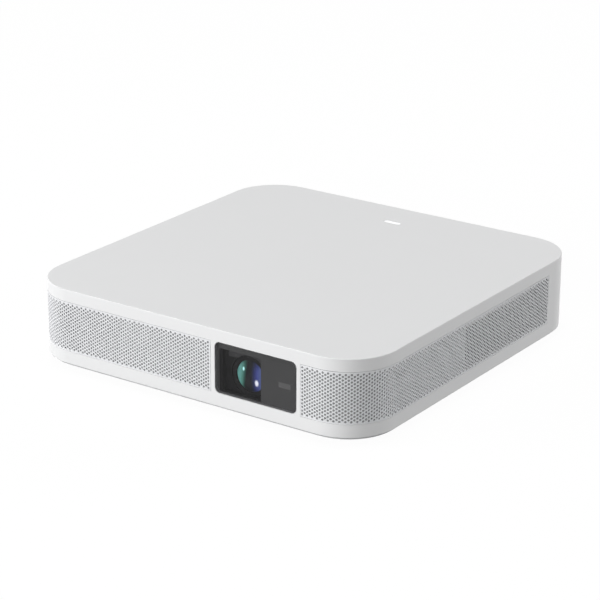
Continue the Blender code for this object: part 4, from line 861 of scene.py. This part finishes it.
def makeMark(values):
    across, up = middleOf("power_button")
    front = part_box("power_button")[1].y / mm - values["sunk"]
    radius, half, gap, steps = values["radius"], values["line"] / 2, values["gap"], values["steps"]
    turns = [math.radians(90 + gap + i * (360 - 2 * gap) / steps) for i in range(steps + 1)]
    outer, inner = [[(across + reach * math.cos(turn), up + reach * math.sin(turn)) for turn in turns]
                    for reach in (radius + half, radius - half)]
    low, high = values["bar"]
    bar = [(across + x, up + z) for x, z in ((-half, low), (half, low), (half, high), (-half, high))]
    ring, bar = [[(x * mm, z * mm) for x, z in points] for points in (outer + inner[::-1], bar)]
    mesh = plateMesh("power_mark", ring, [bar], front * mm, values["depth"] * mm)
    look = {**finishes["dark_plastic"], "colour": values["colour"], "vary": values["vary"]}
    addPiece("power_mark", mesh, makeFinish("mark_grey", look), "power_button")


makeTongues(tongueValues)
makeLinings(liningValues)
makeMark(markValues)
print("projector: ports and button made")


# Screw thread inside the tripod insert
threadValues = {"pitch": 1.27 * mm, "outer": 3.25 * mm, "inner": 2.7 * mm, "start": 3.4 * mm, "end": 9.6 * mm,
                "steps": 32, "foot": 0.5 * mm, "crest": 0.08 * mm}


def makeThread(values):
    turns = (values["end"] - values["start"]) / values["pitch"]
    profile = [(values["outer"], -values["foot"]), (values["outer"], values["foot"]),
               (values["inner"], values["crest"]), (values["inner"], -values["crest"])]
    rings = []
    for step in range(int(turns * values["steps"]) + 1):
        turn = 2 * math.pi * step / values["steps"]
        lift = values["start"] + values["pitch"] * step / values["steps"]
        rings.append([(r * math.cos(turn), r * math.sin(turn), lift + rise) for r, rise in profile])
    mesh = sweepMesh("tripod_thread", rings)
    smoothMesh(mesh)
    addPiece("tripod_thread", mesh, finish["brass"])


makeThread(threadValues)


# Parts on the main board, sizes in mm: chips and plugs by x, y, width, depth and height
boardValues = {
    "top": 14.6,
    "chips": ((-60, -8, 9, 9, 1.1), (-46, -10, 6, 10, 1.0), (-34, -10, 6, 10, 1.0), (-22, -8, 5, 5, 1.4),
              (-12, -12, 7, 5, 0.9), (-64, 52, 8, 8, 1.2), (-50, 54, 6, 6, 2.6), (-41, 54, 6, 6, 2.6),
              (-28, 56, 10, 7, 1.1), (-14, 54, 5, 6, 1.0), (-64, 66, 5, 4, 1.5), (-24, 70, 6, 4, 0.9)),
    "plugs": ((-67, 24, 4, 12, 4.2), (-67, 38, 4, 8, 4.2), (-6, 30, 4, 14, 3.6), (-14, 4, 12, 4, 3.6)),
    "cans": (   # x, y, radius and height
        (-58, 76, 3.1, 7.5), (-49, 76, 2.5, 6.0), (-10, 76, 3.1, 7.5), (-10, 68, 2.0, 5.0)),
    "groove": ((0, 0.8), (0.25, 1.1), (0, 1.4)),   # how far in, and how high
    "rim": ((0, -0.4), (0.3, 0), (0.7, 0), (0.9, -0.15)),   # how far in, and how far over the top
    "chipsEdge": 0.12, "plugsEdge": 0.25, "canTurn": 35,
}


def makeBoardParts(values):
    top = values["top"]
    for name, look in (("chips", "engine_black"), ("plugs", "nylon")):
        boxes = [((x - wide / 2, y - deep / 2, top), (x + wide / 2, y + deep / 2, top + tall))
                 for x, y, wide, deep, tall in values[name]]
        piece = addPiece("board_" + name, boxesMesh("board_" + name, boxes), finish[look])
        addBevel(piece, values[name + "Edge"] * mm)
    cans = []
    for x, y, r, tall in values["cans"]:
        groove = [(r - inset, rise) for inset, rise in values["groove"]]
        rim = [(r - inset, tall + rise) for inset, rise in values["rim"]]
        cans.append(((x, y, top), "z", [(0, 0), (r, 0), *groove, *rim, (0, rim[-1][1])]))
    mesh = turnedMesh("board_cans", cans)
    smoothMesh(mesh, values["canTurn"])
    addPiece("board_cans", mesh, finish["aluminium"])


makeBoardParts(boardValues)
print("projector: thread and board parts made")


# Stage: white floor that keeps a faint shadow, white surroundings and soft lamps round the object
stageValues = {
    "floorGlow": 0.965, "floorShade": (0.04, 0.0396), "floorBounce": (0.22, 0.2178), "floorCloud": 0.5,
    "floorRough": 0.9, "floorSize": 6.0, "floorDrop": 0.05 * mm, "worldLevel": 0.05,
    "lampDistance": 2.0, "aim": (0, 0, 20 * mm),
    "lamps": {   # turn from the front, height above the floor, both in degrees, then size in m and power
        "keyFront": (13, 17, 0.9, 20.5), "keyLeft": (-45, 17, 0.9, 25.5), "overhead": (0, 88, 1.2, 15.6),
        "fillRight": (143, 10, 0.9, 27.8), "fillLeft": (262, 12, 0.9, 8.0), "fillRear": (200, 10, 0.9, 4.0),
    },
    "matt": ("keyFront", "keyLeft", "fillRight", "fillRear"),   # lamps left out of reflections
}


def lookAt(lamp, target):
    direction = Vector(target) - lamp.location
    lamp.rotation_euler = direction.to_track_quat("-Z", "Y").to_euler()


# 1 for what is seen directly, in a reflection or through glass, and 0 for the light that a surface sends on
def seenFactor(tree):
    path = tree.nodes.new("ShaderNodeLightPath").outputs
    second = mathNode(tree, "MAXIMUM", path["Is Glossy Ray"], path["Is Transmission Ray"])
    return mathNode(tree, "MAXIMUM", path["Is Camera Ray"], second)


def greyMix(tree, factor, levels):
    return mixNode(tree, factor, *[(level, level, level) for level in levels])


def makeFloor(values):
    half, drop = values["floorSize"] / 2, -values["floorDrop"]
    mesh = bpy.data.meshes.new("floor")
    corners = [(x * half, y * half, drop) for x, y in ((-1, -1), (1, -1), (1, 1), (-1, 1))]
    mesh.from_pydata(corners, [], [(0, 1, 2, 3)])
    material, tree, place, shader = newFinish("floor")
    cloud = noiseNode(tree, place, values["floorCloud"])
    seen = tree.nodes.new("ShaderNodeEmission")
    seen.inputs["Strength"].default_value = values["floorGlow"]
    shade = tree.nodes.new("ShaderNodeBsdfDiffuse")
    tree.links.new(greyMix(tree, cloud, values["floorShade"]), shade.inputs["Color"])
    both = tree.nodes.new("ShaderNodeAddShader")
    tree.links.new(seen.outputs[0], both.inputs[0])
    tree.links.new(shade.outputs[0], both.inputs[1])
    tree.links.new(greyMix(tree, cloud, values["floorBounce"]), shader.inputs["Base Color"])
    shader.inputs["Roughness"].default_value = values["floorRough"]
    shader.inputs["Specular IOR Level"].default_value = 0
    mix = tree.nodes.new("ShaderNodeMixShader")
    tree.links.new(seenFactor(tree), mix.inputs[0])
    tree.links.new(shader.outputs[0], mix.inputs[1])
    tree.links.new(both.outputs[0], mix.inputs[2])
    tree.links.new(mix.outputs[0], tree.nodes["Material Output"].inputs["Surface"])
    mesh.materials.append(material)
    floor = bpy.data.objects.new("floor", mesh)
    bpy.context.scene.collection.objects.link(floor)
    return floor


def makeWorld(values):
    world = bpy.data.worlds.new("surroundings")
    world.use_nodes = True
    tree = world.node_tree
    background = tree.nodes["Background"]
    background.inputs["Color"].default_value = (1, 1, 1, 1)
    level = rangeNode(tree, seenFactor(tree), values["worldLevel"], 1, 0, 1)
    tree.links.new(level, background.inputs["Strength"])
    bpy.context.scene.world = world


def makeLamps(values):
    lamps = []
    for name, (turn, height, size, power) in values["lamps"].items():
        light = bpy.data.lights.new(name, "AREA")
        light.size = size
        light.energy = power
        lamp = bpy.data.objects.new(name, light)
        lamp.visible_glossy = name not in values["matt"]
        turn, height = math.radians(turn), math.radians(height)
        lamp.location = values["lampDistance"] * Vector((
            math.sin(turn) * math.cos(height), -math.cos(turn) * math.cos(height), math.sin(height)))
        lookAt(lamp, values["aim"])
        bpy.context.scene.collection.objects.link(lamp)
        lamps.append(lamp)
    return lamps


def makeStage(values):
    floor = makeFloor(values)
    makeWorld(values)
    lamps = makeLamps(values)


# Camera as fitted to the photograph's edges
cameraValues = {
    "place": (0.598132, -0.867594, 0.417630), "lens": 133.19, "sensor": 36.0, "clipStart": 10 * mm,
    "right": (0.8203082, 0.5719135, 0.0030727), "up": (-0.2030058, 0.2861446, 0.9364347),
    "back": (0.5346804, -0.7687888, 0.3508285),
}


def makeCamera(values):
    data = bpy.data.cameras.new("view")
    data.lens = values["lens"]
    data.sensor_width = values["sensor"]
    data.sensor_fit = "HORIZONTAL"
    data.clip_start = values["clipStart"]
    camera = bpy.data.objects.new("view", data)
    turn = Matrix((values["right"], values["up"], values["back"])).transposed()
    camera.matrix_world = Matrix.Translation(values["place"]) @ turn.to_4x4()
    bpy.context.scene.collection.objects.link(camera)
    bpy.context.scene.camera = camera


makeStage(stageValues)
makeCamera(cameraValues)
bpy.context.scene.view_settings.view_transform = "Standard"
print("projector: stage and camera made")
